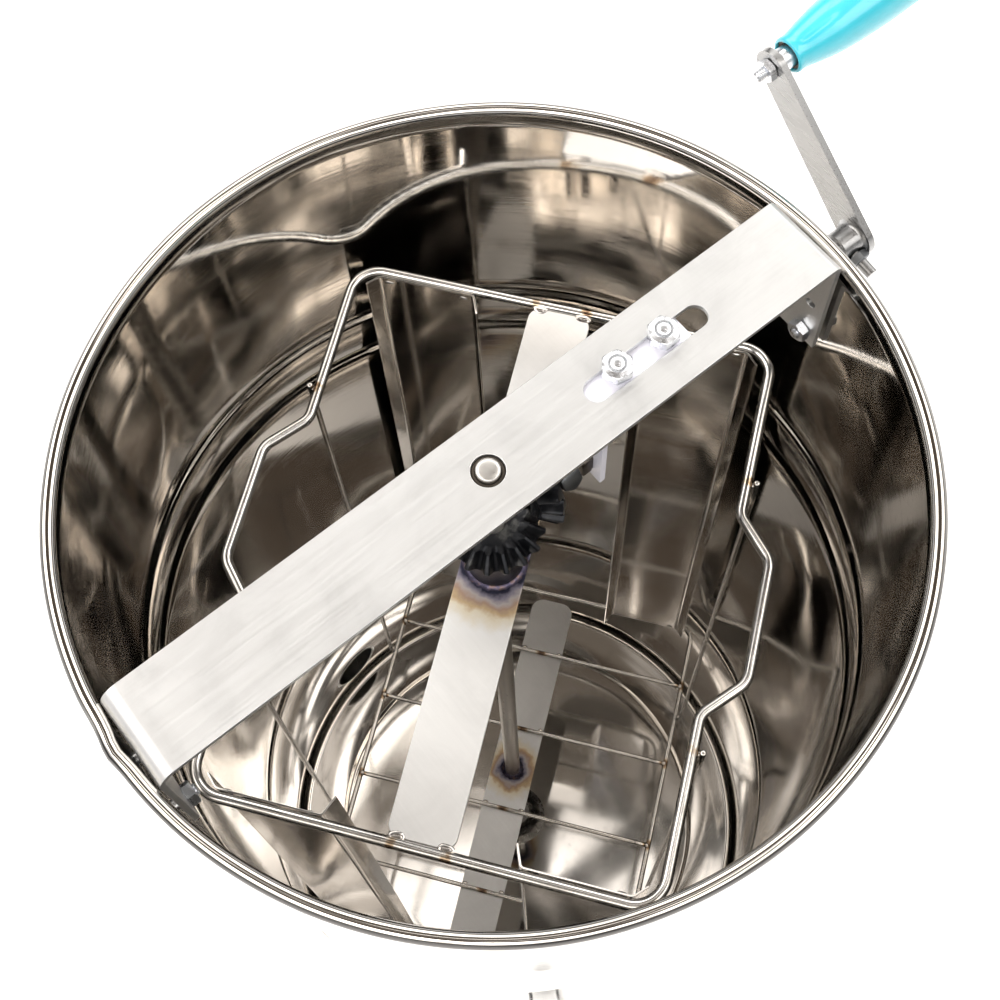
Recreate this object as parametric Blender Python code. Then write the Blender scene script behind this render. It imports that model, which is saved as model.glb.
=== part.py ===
"""Hand-cranked two-frame honey extractor. Metres, +Z up. The origin is the centre of the drum floor's flat
underside on the rotor axis, and +X points at the crank."""

import math

import bpy
from mathutils import Matrix, Vector

for old in list(bpy.data.objects):
    bpy.data.objects.remove(old, do_unlink=True)

MM = 0.001

# ---- driving dimensions, in millimetres ----
WALL_IN = 185.0  # drum inner radius
WALL_T = 1.2
RIM_Z = 775.0  # top of the rolled rim
RIM_R = 3.5  # radius of the roll
RIM_C = 187.0  # radius at which the roll is centred
FLOOR_TOP = 1.5
BEADS = (190.0, 560.0, 600.0)  # heights of the swaged rings
BEAD_OUT = 2.8
BEAD_HALF = 6.0
DRUM_SEGS = 56

BAR_W = 44.0
BAR_T = 3.0
BAR_TOP = 778.5
BAR_END = 181.8
FLANGE_LOW = 702.0
BAR_HOLE_R = 7.5
SLOT = (53.5, 120.5, 11.5)

SHAFT_Z = 735.0  # height of the crank shaft, and of both gears' shared apex
SHAFT_R = 5.5  # rotor shaft
CRANK_R = 5.9  # crank shaft
CRANK_ANGLE = math.radians(41.0)
ARM_LEN = 91.0
ARM_X = (219.0, 222.5)
HUB_X = (207.5, 221.0)
HUB_R = 8.0
GRIP_X = (229.3, 341.0)

GEAR_N = 16
GEAR_RP = 23.0
GEAR_FACE = 10.0
GEAR_CLEAR = 0.55  # play between teeth, at the large end

CAGE_ANGLE = math.radians(37.3)
CAGE_TOP = 666.0
CAGE_LOW = 192.0
CAGE_U = 141.0
CAGE_V = 110.0
BULGE_V = 128.0
TOP_WIRE_R = 2.8
LOW_WIRE_R = 1.9
CROSS_WIRE_R = 1.6
CROSS_U = (-92.0, -31.0, 31.0, 92.0)
CAGE_BAR_W = 32.0
CAGE_BAR_T = 3.0
ROD_U = 68.0
ROD_V = 114.7
ROD_R = 1.5
POST_T = 1.0

GATE_AZ = math.radians(100.7)
GATE_Z = 44.0
GATE_HOLE_R = 23.0

LEG_AZ = (0.0, 120.0, 240.0)
LEG_FOOT_Z = -300.0
LEG_SPLAY = 56.0


# ---- materials ----
def material(name, colour, metallic, roughness, coat=0.0):
    mat = bpy.data.materials.new(name)
    mat.use_nodes = True
    shader = mat.node_tree.nodes["Principled BSDF"]
    shader.inputs["Base Color"].default_value = (*colour, 1.0)
    shader.inputs["Metallic"].default_value = metallic
    shader.inputs["Roughness"].default_value = roughness
    shader.inputs["Coat Weight"].default_value = coat
    mat.diffuse_color = (*colour, 1.0)
    return mat


MIRROR = material("polished_stainless", (0.80, 0.79, 0.77), 1.0, 0.08)
BRUSHED = material("brushed_stainless", (0.78, 0.78, 0.77), 1.0, 0.35)
WIRE = material("bright_wire", (0.82, 0.81, 0.79), 1.0, 0.18)
ZINC = material("zinc_plate", (0.72, 0.74, 0.77), 1.0, 0.3)
CAST = material("black_cast", (0.02, 0.021, 0.023), 0.4, 0.45)
STEEL = material("plain_steel", (0.55, 0.55, 0.55), 1.0, 0.3)
PALE = material("painted_bracket", (0.62, 0.62, 0.66), 0.6, 0.4)
NYLON = material("white_nylon", (0.83, 0.82, 0.76), 0.0, 0.45)
BRONZE = material("dark_bush", (0.09, 0.085, 0.08), 0.5, 0.5)
GRIP = material("turquoise_grip", (0.09, 0.6, 0.72), 0.0, 0.15, 0.6)
RUBBER = material("black_rubber", (0.025, 0.025, 0.025), 0.0, 0.8)


# ---- mesh helpers ----
def volume_of(verts, faces):
    total = 0.0
    for face in faces:
        a = Vector(verts[face[0]])
        for i in range(1, len(face) - 1):
            total += a.dot(Vector(verts[face[i]]).cross(Vector(verts[face[i + 1]])))
    return total


def mesh_object(name, verts, faces, mat, smooth=None, origin=(0, 0, 0), cutter=False):
    """verts in mm, in world axes. origin in mm becomes the object's origin."""
    if volume_of(verts, faces) < 0:
        faces = [tuple(reversed(face)) for face in faces]
    o = Vector(origin)
    mesh = bpy.data.meshes.new(name)
    mesh.from_pydata([tuple((Vector(v) - o) * MM) for v in verts], [], faces)
    mesh.update()
    obj = bpy.data.objects.new(name, mesh)
    obj.location = o * MM
    bpy.context.scene.collection.objects.link(obj)
    if mat is not None:
        mesh.materials.append(mat)
    if smooth is not None:
        mesh.polygons.foreach_set("use_smooth", [True] * len(mesh.polygons))
        mesh.set_sharp_from_angle(angle=math.radians(smooth))
    if cutter:
        obj.hide_render = True
        obj.display_type = "WIRE"
    return obj


def loft(rings, closed=False):
    """Faces between rings of the same count. closed joins the last ring to the first, else both ends are capped."""
    n = len(rings[0])
    verts = [p for ring in rings for p in ring]
    faces = []
    pairs = list(zip(range(len(rings)), range(1, len(rings))))
    if closed:
        pairs.append((len(rings) - 1, 0))
    for a, b in pairs:
        for i in range(n):
            j = (i + 1) % n
            faces.append((a * n + i, a * n + j, b * n + j, b * n + i))
    if not closed:
        faces.append(tuple(range(n - 1, -1, -1)))
        faces.append(tuple((len(rings) - 1) * n + i for i in range(n)))
    return verts, faces


def lathe(profile, segs):
    """Closed profile of (r, z) turned about Z. A point with r = 0 becomes one vertex."""
    verts, index = [], []
    for r, z in profile:
        if r < 1e-6:
            index.append([len(verts)] * segs)
            verts.append((0.0, 0.0, z))
        else:
            index.append(list(range(len(verts), len(verts) + segs)))
            for k in range(segs):
                a = 2 * math.pi * k / segs
                verts.append((r * math.cos(a), r * math.sin(a), z))
    faces = []
    count = len(profile)
    for i in range(count):
        first, second = index[i], index[(i + 1) % count]
        if profile[i][0] < 1e-6 and profile[(i + 1) % count][0] < 1e-6:
            continue
        for k in range(segs):
            m = (k + 1) % segs
            face = [first[k], first[m], second[m], second[k]]
            clean = []
            for v in face:
                if v not in clean:
                    clean.append(v)
            if len(clean) >= 3:
                faces.append(tuple(clean))
    return verts, faces


def place(verts, matrix):
    return [tuple(matrix @ Vector(v)) for v in verts]


def frame(origin, axis, side):
    """Matrix whose local Z is axis and whose local X is as near as possible to side."""
    z = Vector(axis).normalized()
    x = Vector(side)
    x = (x - z * x.dot(z)).normalized()
    y = z.cross(x)
    return Matrix(
        (
            (x.x, y.x, z.x, origin[0]),
            (x.y, y.y, z.y, origin[1]),
            (x.z, y.z, z.z, origin[2]),
            (0, 0, 0, 1),
        )
    )


def hex_ring(across, z, count=12):
    """count points around a hexagon measured across its flats."""
    ring = []
    for k in range(count):
        a = 2 * math.pi * k / count
        d = (a + math.pi / 6) % (math.pi / 3) - math.pi / 6
        r = across / 2 / math.cos(d)
        ring.append((r * math.cos(a), r * math.sin(a), z))
    return ring


def circle_ring(r, z, count=12):
    return [
        (
            r * math.cos(2 * math.pi * k / count),
            r * math.sin(2 * math.pi * k / count),
            z,
        )
        for k in range(count)
    ]


def stack(sections, count=12):
    """Sections of ('hex' or 'round', size, z) lofted along Z into one closed body."""
    rings = [
        hex_ring(size, z, count) if kind == "hex" else circle_ring(size, z, count)
        for kind, size, z in sections
    ]
    return loft(rings)


def prism(outline, z0, z1):
    rings = [[(x, y, z) for x, y in outline] for z in (z0, z1)]
    return loft(rings)


def arc(cx, cy, r, a0, a1, n):
    return [
        (
            cx + r * math.cos(math.radians(a0 + (a1 - a0) * i / n)),
            cy + r * math.sin(math.radians(a0 + (a1 - a0) * i / n)),
        )
        for i in range(n + 1)
    ]


def tube(points, radius, sides=8, closed=False):
    """Round wire along points that lie in one horizontal plane, or along a straight line."""
    rings = []
    count = len(points)
    for i, p in enumerate(points):
        p = Vector(p)
        if closed:
            before, after = Vector(points[i - 1]), Vector(points[(i + 1) % count])
        else:
            before = Vector(points[max(i - 1, 0)])
            after = Vector(points[min(i + 1, count - 1)])
        inward = (p - before).normalized() if (p - before).length > 1e-9 else None
        outward = (after - p).normalized() if (after - p).length > 1e-9 else None
        t = (inward or outward) + (outward or inward)
        t.normalize()
        ref = Vector((0, 0, 1)) if abs(t.z) < 0.9 else Vector((1, 0, 0))
        side = ref.cross(t).normalized()
        up = t.cross(side)
        stretch = 1.0
        if inward and outward:
            stretch = 1.0 / max(0.5, math.cos(inward.angle(outward, 0.0) / 2))
        ring = []
        for k in range(sides):
            a = 2 * math.pi * (k + 0.5) / sides
            q = (
                p
                + side * (radius * stretch * math.cos(a))
                + up * (radius * math.sin(a))
            )
            ring.append(tuple(q))
        rings.append(ring)
    return loft(rings, closed)


def merged(*parts):
    verts, faces = [], []
    for v, f in parts:
        start = len(verts)
        if volume_of(v, f) < 0:
            f = [tuple(reversed(face)) for face in f]
        verts += v
        faces += [tuple(i + start for i in face) for face in f]
    return verts, faces


def boolean(obj, other, operation):
    mod = obj.modifiers.new(operation.lower(), "BOOLEAN")
    mod.operation = operation
    mod.solver = "EXACT"
    mod.object = other
    return mod


def rod_mesh(matrix, r, z0, z1, segs=16):
    v, f = stack([("round", r, z0), ("round", r, z1)], segs)
    return place(v, matrix), f


def along_x(y=0.0, z=0.0):
    return frame((0, y, z), (1, 0, 0), (0, 1, 0))


# ---- drum ----
def drum_profile():
    out_r = WALL_IN + WALL_T
    pts = [(0.0, 0.0), (180.5, 0.0), (183.4, -1.6), (184.4, -8.0), (187.3, -8.0)]
    pts += [(187.3, -4.5), (out_r, -2.5)]

    def bead(base, z, sign):
        steps = ((-1.0, 0.0), (-0.45, 0.72), (0.0, 1.0), (0.45, 0.72), (1.0, 0.0))
        row = [(base + BEAD_OUT * h, z + BEAD_HALF * s) for s, h in steps]
        return row if sign > 0 else row[::-1]

    for z in BEADS:
        pts += bead(out_r, z, 1)
    c = RIM_Z - RIM_R
    a_out = -math.degrees(math.acos((out_r - RIM_C) / RIM_R))
    a_in = 360 - math.degrees(math.acos((WALL_IN - RIM_C) / RIM_R))
    pts += arc(RIM_C, c, RIM_R, a_out, a_in, 9)
    for z in reversed(BEADS):
        pts += bead(WALL_IN, z, -1)
    pts += [(WALL_IN, 7.5), (183.2, 3.2), (178.5, FLOOR_TOP), (0.0, FLOOR_TOP)]
    return pts


v, f = lathe(drum_profile(), DRUM_SEGS)
drum = mesh_object("drum", v, f, MIRROR, smooth=32)

gate_axis = (math.cos(GATE_AZ), math.sin(GATE_AZ), 0.0)
GATE = frame((0, 0, GATE_Z), gate_axis, (0, 0, 1))  # local Z outward, local X up
BOLT_YZ = ((-13.5, 711.0), (13.5, 711.0))
cuts = [
    rod_mesh(GATE, GATE_HOLE_R, 150, 215, 28),
    rod_mesh(along_x(0, SHAFT_Z), 8.6, 165, 205, 20),
]
for y, z in BOLT_YZ:
    cuts.append(rod_mesh(along_x(y, z), 3.4, 170, 200, 12))
    cuts.append(rod_mesh(along_x(y, z), 3.4, -200, -170, 12))
v, f = merged(*cuts)
boolean(drum, mesh_object("cut_drum", v, f, None, cutter=True), "DIFFERENCE")


# ---- crossbar ----
def crossbar_outline():
    """In X and Z, both ends turned down: the left bend is round, the right one is tight."""
    x, top, t = BAR_END, BAR_TOP, BAR_T
    left, right = 9.0, 4.5
    pts = [(-x, FLANGE_LOW), (-x + t, FLANGE_LOW)]
    pts += arc(-x + left, top - left, left - t, 180, 90, 5)
    pts += arc(x - right, top - right, right - t, 90, 0, 3)
    pts += [(x - t, FLANGE_LOW), (x, FLANGE_LOW)]
    pts += arc(x - right, top - right, right, 0, 90, 4)
    pts += arc(-x + left, top - left, left, 90, 180, 7)
    return pts


rings = [[(x, y, z) for x, z in crossbar_outline()] for y in (-BAR_W / 2, BAR_W / 2)]
v, f = loft(rings)
crossbar = mesh_object("crossbar", v, f, BRUSHED, smooth=25)
down = Matrix.Identity(4)
slot = arc(SLOT[0] + SLOT[2] / 2, 0, SLOT[2] / 2, 90, 270, 8)
slot += arc(SLOT[1] - SLOT[2] / 2, 0, SLOT[2] / 2, -90, 90, 8)
cuts = [rod_mesh(down, BAR_HOLE_R, 770, 785, 24), prism(slot, 770, 785)]
cuts.append(rod_mesh(along_x(0, SHAFT_Z), 8.6, 175, 190, 20))
for y in (-13.7, 13.7):
    cuts.append(rod_mesh(along_x(y, SHAFT_Z + 0.5), 2.7, 175, 190, 12))
for y, z in BOLT_YZ:
    cuts.append(rod_mesh(along_x(y, z), 3.4, 175, 190, 12))
    cuts.append(rod_mesh(along_x(y, z), 3.4, -190, -175, 12))
v, f = merged(*cuts)
boolean(crossbar, mesh_object("cut_crossbar", v, f, None, cutter=True), "DIFFERENCE")

# Bolts through the wall and the turned-down ends: hex head outside, nut inside.
for index, (sign, y, z) in enumerate(
    (s, y, z) for s in (1, -1) for y, z in BOLT_YZ
):
    sections = [
        ("round", 2.3, 172.6),
        ("round", 2.9, 173.4),
        ("round", 2.9, 174.1),
        ("hex", 10.0, 174.1),
        ("hex", 10.0, 178.5),
        ("round", 2.9, 178.5),
        ("round", 2.9, 187.0),
        ("round", 6.0, 187.0),
        ("round", 6.0, 188.0),
        ("hex", 10.0, 188.0),
        ("hex", 10.0, 191.3),
        ("round", 4.2, 192.2),
    ]
    v, f = stack(sections)
    m = frame((0, y, z), (sign, 0, 0), (0, 0, 1))
    mesh_object(f"crossbar_bolt_{index + 1}", place(v, m), f, ZINC, smooth=28)

# ---- bushes and the crank shaft's bracket ----
# The bush hangs by a flange under the bar, so it is one turned piece.
v, f = lathe(
    [(5.8, 772.2), (11.0, 772.2), (11.0, 775.1), (7.2, 775.1), (7.2, 777.4), (5.8, 777.4)],
    20,
)
mesh_object("top_bush", v, f, BRONZE, smooth=30)

v, f = lathe(
    [
        (0.0, 1.8), (24.0, 1.8), (24.0, 4.2), (19.0, 6.0), (12.0, 17.0), (10.5, 19.0),
        (6.4, 19.0), (6.1, 18.6), (6.1, 7.0), (0.0, 4.6),
    ],
    24,
)
mesh_object("floor_pivot", v, f, STEEL, smooth=30)

outline = [
    (49.0, 721.0), (52.0, 721.0), (52.0, 769.6), (54.0, 772.2), (109.0, 772.2),
    (109.0, 775.2), (52.0, 775.2), (49.6, 774.0), (49.0, 772.0),
]
rings = [[(x, y, z) for x, z in outline] for y in (-17.0, 17.0)]
v, f = loft(rings)
bracket = mesh_object("crank_bracket", v, f, PALE, smooth=28)
NUT_X = (71.7, 97.7)
NUT_Y = 1.5
cuts = [rod_mesh(along_x(0, SHAFT_Z), 8.6, 40, 60, 20)]
for x in NUT_X:
    cuts.append(rod_mesh(frame((x, NUT_Y, 0), (0, 0, 1), (1, 0, 0)), 4.3, 765, 780, 12))
v, f = merged(*cuts)
boolean(bracket, mesh_object("cut_bracket", v, f, None, cutter=True), "DIFFERENCE")
for index, x in enumerate(NUT_X):
    sections = [
        ("hex", 13.0, 766.4),
        ("hex", 13.0, 771.9),
        ("round", 3.9, 771.9),
        ("round", 3.9, 778.8),
        ("hex", 12.4, 778.8),
        ("hex", 13.0, 779.4),
        ("hex", 13.0, 784.4),
        ("round", 5.8, 785.2),
        ("round", 4.1, 785.2),
        ("round", 4.1, 786.0),
        ("round", 3.2, 787.2),
        ("round", 1.4, 787.8),
    ]
    v, f = stack(sections)
    turn = Matrix.Translation((x, NUT_Y, 0)) @ Matrix.Rotation(math.radians(20.8 + 10 * index), 4, "Z")
    mesh_object(f"bracket_bolt_{index + 1}", place(v, turn), f, ZINC, smooth=28)


def bored(sections, bore, count=24):
    """Sections as for stack, with a round bore right through."""
    rings = [
        hex_ring(size, z, count) if kind == "hex" else circle_ring(size, z, count)
        for kind, size, z in sections
    ]
    rings.append(circle_ring(bore, sections[-1][2], count))
    rings.append(circle_ring(bore, sections[0][2], count))
    return loft(rings, closed=True)


m = along_x(0, SHAFT_Z)
v, f = bored(
    [("hex", 24.0, 42.6), ("hex", 24.0, 48.7), ("round", 8.2, 48.7), ("round", 8.2, 57.5)],
    6.2,
)
mesh_object("inner_bush", place(v, m), f, BRONZE, smooth=28)
v, f = bored(
    [
        ("round", 8.2, 176.5),
        ("round", 8.2, 187.2),
        ("round", 13.0, 187.2),
        ("round", 13.0, 189.8),
        ("round", 8.4, 189.8),
        ("round", 8.4, 203.0),
    ],
    6.2,
)
mesh_object("outer_bush", place(v, m), f, STEEL, smooth=28)


# ---- bevel gears ----
def bevel(hub_r, hub_z, bore, phase):
    """Gear with its apex at the origin and its axis along +Z, hub below. Straight teeth on a 45 degree cone."""
    c = math.sqrt(0.5)
    m = 2 * GEAR_RP / GEAR_N
    tip_h, root_h = 0.8 * m, -1.05 * m
    inner = 1.0 - GEAR_FACE * c / GEAR_RP
    step = 2 * math.pi / GEAR_N

    def half(h):
        t = math.pi * m / 4 - h * math.tan(math.radians(20)) - GEAR_CLEAR / 2
        return t / (GEAR_RP + h * c)

    def tooth_ring(scale):
        ring = []
        for k in range(GEAR_N):
            mid = phase + k * step
            for h, s in ((root_h, -1), (tip_h, -1), (tip_h, 1), (root_h, 1)):
                a = mid + s * half(h)
                r = (GEAR_RP + h * c) * scale
                z = (-GEAR_RP + h * c) * scale
                ring.append((r * math.cos(a), r * math.sin(a), z))
        return ring

    def round_ring(r, z):
        ring = []
        for k in range(GEAR_N):
            mid = phase + k * step
            for h, s in ((root_h, -1), (tip_h, -1), (tip_h, 1), (root_h, 1)):
                a = mid + s * (0.38 if h == root_h else 0.13) * step
                ring.append((r * math.cos(a), r * math.sin(a), z))
        return ring

    back = -GEAR_RP + root_h * c - 2.2
    front = (-GEAR_RP + root_h * c) * inner - 0.4
    rings = [
        round_ring(bore, hub_z),
        round_ring(hub_r, hub_z),
        round_ring(hub_r, back - 0.2),
        round_ring((GEAR_RP + root_h * c) - 1.6, back),
        tooth_ring(1.0),
        tooth_ring(inner),
        round_ring((GEAR_RP + root_h * c) * inner - 3.0, front),
        round_ring(bore, front),
    ]
    return loft(rings, closed=True)


APEX = (0.0, 0.0, SHAFT_Z)
v, f = bevel(14.0, CAGE_TOP + 1.3 - SHAFT_Z, SHAFT_R + 0.3, 0.0)
rotor_gear_mesh = place(v, Matrix.Translation(APEX)), f

v, f = bevel(12.5, -39.5, CRANK_R + 0.3, math.pi / GEAR_N)
to_crank = Matrix(((0, 0, -1, 0), (0, 1, 0, 0), (1, 0, 0, SHAFT_Z), (0, 0, 0, 1)))
crank_gear = mesh_object("crank_gear", place(v, to_crank), f, CAST, smooth=20, origin=APEX)


def radial(x, angle):
    """Frame on the crank axis at x whose local Z points out at angle from +Y towards +Z."""
    return frame((x, 0, SHAFT_Z), (0, math.cos(angle), math.sin(angle)), (1, 0, 0))


GEAR_SCREW = radial(33.9, math.radians(150))
HUB_SCREW = radial(213.2, math.radians(188))
cut = mesh_object("cut_crank_gear", *rod_mesh(GEAR_SCREW, 3.0, 5.0, 20.0, 12), None, cutter=True)
boolean(crank_gear, cut, "DIFFERENCE")
screw = [
    ("round", 2.6, 6.4),
    ("round", 2.6, 12.9),
    ("hex", 10.0, 12.9),
    ("hex", 10.0, 17.6),
    ("round", 4.3, 18.3),
]
v, f = stack(screw)
mesh_object("gear_set_screw", place(v, GEAR_SCREW), f, STEEL, smooth=28, origin=APEX)

# ---- crank shaft, arm and handle ----
v, f = stack(
    [("round", 4.9, 9.2), ("round", CRANK_R, 10.2), ("round", CRANK_R, 224.7), ("round", 4.9, 225.5)],
    20,
)
mesh_object("crank_shaft", place(v, m), f, STEEL, smooth=28, origin=APEX)

# Local X runs along the arm, local Z along world X.
ARM = frame(APEX, (1, 0, 0), (0, math.cos(CRANK_ANGLE), math.sin(CRANK_ANGLE)))
plate = arc(0, 0, 11.0, 90, 270, 12) + arc(ARM_LEN, 0, 9.0, -90, 90, 10)
v, f = prism(plate, *ARM_X)
arm = mesh_object("crank_arm", place(v, ARM), f, BRUSHED, smooth=28, origin=APEX)
hub = mesh_object("add_hub", *rod_mesh(ARM, HUB_R, *HUB_X, 24), None, cutter=True)
boolean(arm, hub, "UNION")
handle_m = ARM @ Matrix.Translation((ARM_LEN, 0, 0))
v, f = merged(
    rod_mesh(ARM, CRANK_R + 0.3, 200, 240, 20),
    rod_mesh(handle_m, 3.3, 208, 226, 12),
)
boolean(arm, mesh_object("cut_arm_bore", v, f, None, cutter=True), "DIFFERENCE")
cut = mesh_object("cut_arm_screw", *rod_mesh(HUB_SCREW, 3.0, 4.0, 20.0, 12), None, cutter=True)
boolean(arm, cut, "DIFFERENCE")
v, f = stack(
    [("round", 2.6, 6.4), ("round", 2.6, 8.3), ("hex", 10.0, 8.3), ("hex", 10.0, 12.0), ("round", 4.3, 12.6)]
)
mesh_object("hub_set_screw", place(v, HUB_SCREW), f, STEEL, smooth=28, origin=APEX)

v, f = stack(
    [
        ("round", 2.3, 209.6),
        ("round", 3.0, 210.4),
        ("round", 3.0, 214.8),
        ("hex", 10.0, 214.8),
        ("hex", 10.0, 218.7),
        ("round", 3.0, 218.7),
        ("round", 3.0, 222.8),
        ("round", 6.5, 222.8),
        ("round", 6.5, 224.0),
        ("round", 5.6, 224.0),
        ("round", 5.6, 234.5),
        ("round", 3.0, 234.5),
        ("round", 3.0, 337.0),
        ("round", 6.4, 337.0),
        ("round", 6.4, 339.6),
    ]
)
mesh_object("handle_bolt", place(v, handle_m), f, ZINC, smooth=28, origin=APEX)

grip_origin = tuple(handle_m @ Vector((0, 0, 0)))
g0, g1 = GRIP_X
grip_profile = [
    (3.4, g0 + 5.5), (7.3, g0 + 5.5), (7.3, g0), (8.2, g0), (9.1, g0 + 1.0), (9.5, g0 + 6.0), (11.4, g0 + 15.0),
    (13.4, g0 + 27.0), (14.6, g0 + 45.0), (14.9, g0 + 62.0), (14.3, g0 + 82.0),
    (13.0, g0 + 98.0), (11.2, g1 - 4.0), (8.8, g1 - 0.6), (7.0, g1),
    (6.9, 336.4), (3.4, 336.4),
]
v, f = lathe(grip_profile, 28)
mesh_object("handle_grip", place(v, handle_m), f, GRIP, smooth=35, origin=grip_origin)

# ---- rotor ----
TURN = Matrix.Rotation(CAGE_ANGLE, 4, "Z")
v, f = stack(
    [
        ("round", 1.6, 7.6),
        ("round", 3.8, 9.2),
        ("round", SHAFT_R, 12.5),
        ("round", SHAFT_R, 779.0),
        ("round", SHAFT_R - 1.0, 780.2),
    ],
    20,
)
mesh_object("rotor_shaft", v, f, STEEL, smooth=28)
v, f = rotor_gear_mesh
mesh_object("rotor_gear", v, f, CAST, smooth=20)


def rounded_bar(half_u, width, corner, n=4):
    h = width / 2
    pts = arc(half_u - corner, h - corner, corner, 0, 90, n)
    pts += arc(-half_u + corner, h - corner, corner, 90, 180, n)
    pts += arc(-half_u + corner, -h + corner, corner, 180, 270, n)
    pts += arc(half_u - corner, -h + corner, corner, 270, 360, n)
    return pts


def bar_with_hole(name, half_u, corner, z1):
    v, f = prism(rounded_bar(half_u, CAGE_BAR_W, corner), z1 - CAGE_BAR_T, z1)
    obj = mesh_object(name, place(v, TURN), f, MIRROR, smooth=28)
    cut = mesh_object(
        f"cut_{name}", *rod_mesh(down, SHAFT_R + 0.3, z1 - 10, z1 + 10, 20), None, cutter=True
    )
    boolean(obj, cut, "DIFFERENCE")
    return obj


bar_with_hole("rotor_top_bar", CAGE_U - TOP_WIRE_R - 0.3, 6.0, CAGE_TOP + 1.0)
bar_with_hole("rotor_low_bar", 135.5, 9.0, CAGE_LOW - CROSS_WIRE_R - 0.3)


def top_loop():
    """One half of the bulged frame's plan, then its half turn."""
    half = []
    half += arc(CAGE_U - 15, CAGE_V - 15, 15, 0, 90, 5)
    half += arc(54.0, CAGE_V + 9, 9, 270, 228, 2)
    half += arc(26.0, BULGE_V - 12, 12, 48, 90, 3)
    half += arc(-26.0, BULGE_V - 12, 12, 90, 132, 3)
    half += arc(-54.0, CAGE_V + 9, 9, 312, 270, 2)
    half += arc(-CAGE_U + 15, CAGE_V - 15, 15, 90, 180, 5)
    return half + [(-x, -y) for x, y in half]


pts = [(x, y, CAGE_TOP) for x, y in top_loop()]
v, f = tube(pts, TOP_WIRE_R, 8, closed=True)
mesh_object("rotor_top_frame", place(v, TURN), f, WIRE, smooth=50)

low = rounded_bar(CAGE_U - 0.5, 2 * (CAGE_V + 0.5), 14.0, 4)
pts = [(x, y, CAGE_LOW) for x, y in low]
v, f = tube(pts, LOW_WIRE_R, 8, closed=True)
grid = mesh_object("rotor_low_frame", place(v, TURN), f, WIRE, smooth=50)
wires = [
    tube([(u, -CAGE_V - 0.3, CAGE_LOW), (u, CAGE_V + 0.3, CAGE_LOW)], CROSS_WIRE_R, 8)
    for u in CROSS_U
]
v, f = merged(*wires)
boolean(grid, mesh_object("add_cross_wires", place(v, TURN), f, WIRE, cutter=True), "UNION")

for index, (su, sv) in enumerate(((1, 1), (-1, 1), (-1, -1), (1, -1))):
    p = (su * ROD_U, sv * ROD_V)
    v, f = tube([(*p, CAGE_LOW - 2.5), (*p, CAGE_TOP + 2.5)], ROD_R, 8)
    mesh_object(f"rotor_rod_{index + 1}", place(v, TURN), f, WIRE, smooth=50)


def post_outline():
    """Folded sheet in plan for the corner at +U +V: corner chamfer, broad face, inner flange."""
    u = CAGE_U - TOP_WIRE_R - 0.5
    inner = math.radians(22)
    mid = [
        (u - 6.0, 103.4),
        (u, 97.4),
        (u, 46.0),
        (u - 11 * math.cos(inner), 46.0 - 11 * math.sin(inner)),
    ]
    outer, inside = [], []
    for i, p in enumerate(mid):
        p = Vector(p)
        if i == 0:
            n = (Vector(mid[1]) - p).normalized()
            off = Vector((-n.y, n.x))
        elif i == len(mid) - 1:
            n = (p - Vector(mid[i - 1])).normalized()
            off = Vector((-n.y, n.x))
        else:
            a = (p - Vector(mid[i - 1])).normalized()
            b = (Vector(mid[i + 1]) - p).normalized()
            na, nb = Vector((-a.y, a.x)), Vector((-b.y, b.x))
            s = na + nb
            off = s / max(0.3, s.dot(na))
        outer.append(tuple(p))
        inside.append(tuple(p - off * POST_T))
    return outer + inside[::-1]


for index, (su, sv) in enumerate(((1, 1), (-1, 1), (-1, -1), (1, -1))):
    v, f = prism(post_outline(), CAGE_LOW - 1.5, CAGE_TOP + 1.5)
    v = [(su * x, sv * y, z) for x, y, z in v]
    mesh_object(f"rotor_post_{index + 1}", place(v, TURN), f, MIRROR, smooth=20)

# ---- outlet valve ----
# In GATE's frame: X up, Y to the side, Z outward from the drum axis.
v, f = bored(
    [
        ("round", 22.5, 184.2),
        ("round", 22.5, 187.1),
        ("round", 32.0, 187.1),
        ("round", 32.0, 189.1),
        ("round", 22.5, 189.1),
        ("round", 22.5, 213.0),
    ],
    20.4,
    28,
)
mesh_object("gate_stub", place(v, GATE), f, BRUSHED, smooth=28)

PIVOT_UP, CLAMP_UP = 39.0, -37.0
seat = arc(PIVOT_UP, 0, 9.5, -75, 75, 6) + arc(0, 0, 31.0, 60, 150, 6)
seat += arc(CLAMP_UP, 0, 8.0, 105, 255, 6) + arc(0, 0, 31.0, 210, 300, 6)
v, f = prism(seat, 215.6, 220.0)
body = mesh_object("gate_body", place(v, GATE), f, NYLON, smooth=28)
v, f = merged(bored([("round", 29.5, 190.0), ("round", 29.5, 217.0)], 22.9, 28))
boolean(body, mesh_object("add_gate_ring", place(v, GATE), f, None, cutter=True), "UNION")
v, f = merged(
    rod_mesh(GATE, 19.5, 210, 225, 28),
    rod_mesh(GATE @ Matrix.Translation((PIVOT_UP, 0, 0)), 3.9, 210, 225, 12),
    rod_mesh(GATE @ Matrix.Translation((CLAMP_UP, 0, 0)), 3.4, 210, 225, 12),
)
boolean(body, mesh_object("cut_gate_body", v, f, None, cutter=True), "DIFFERENCE")

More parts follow.
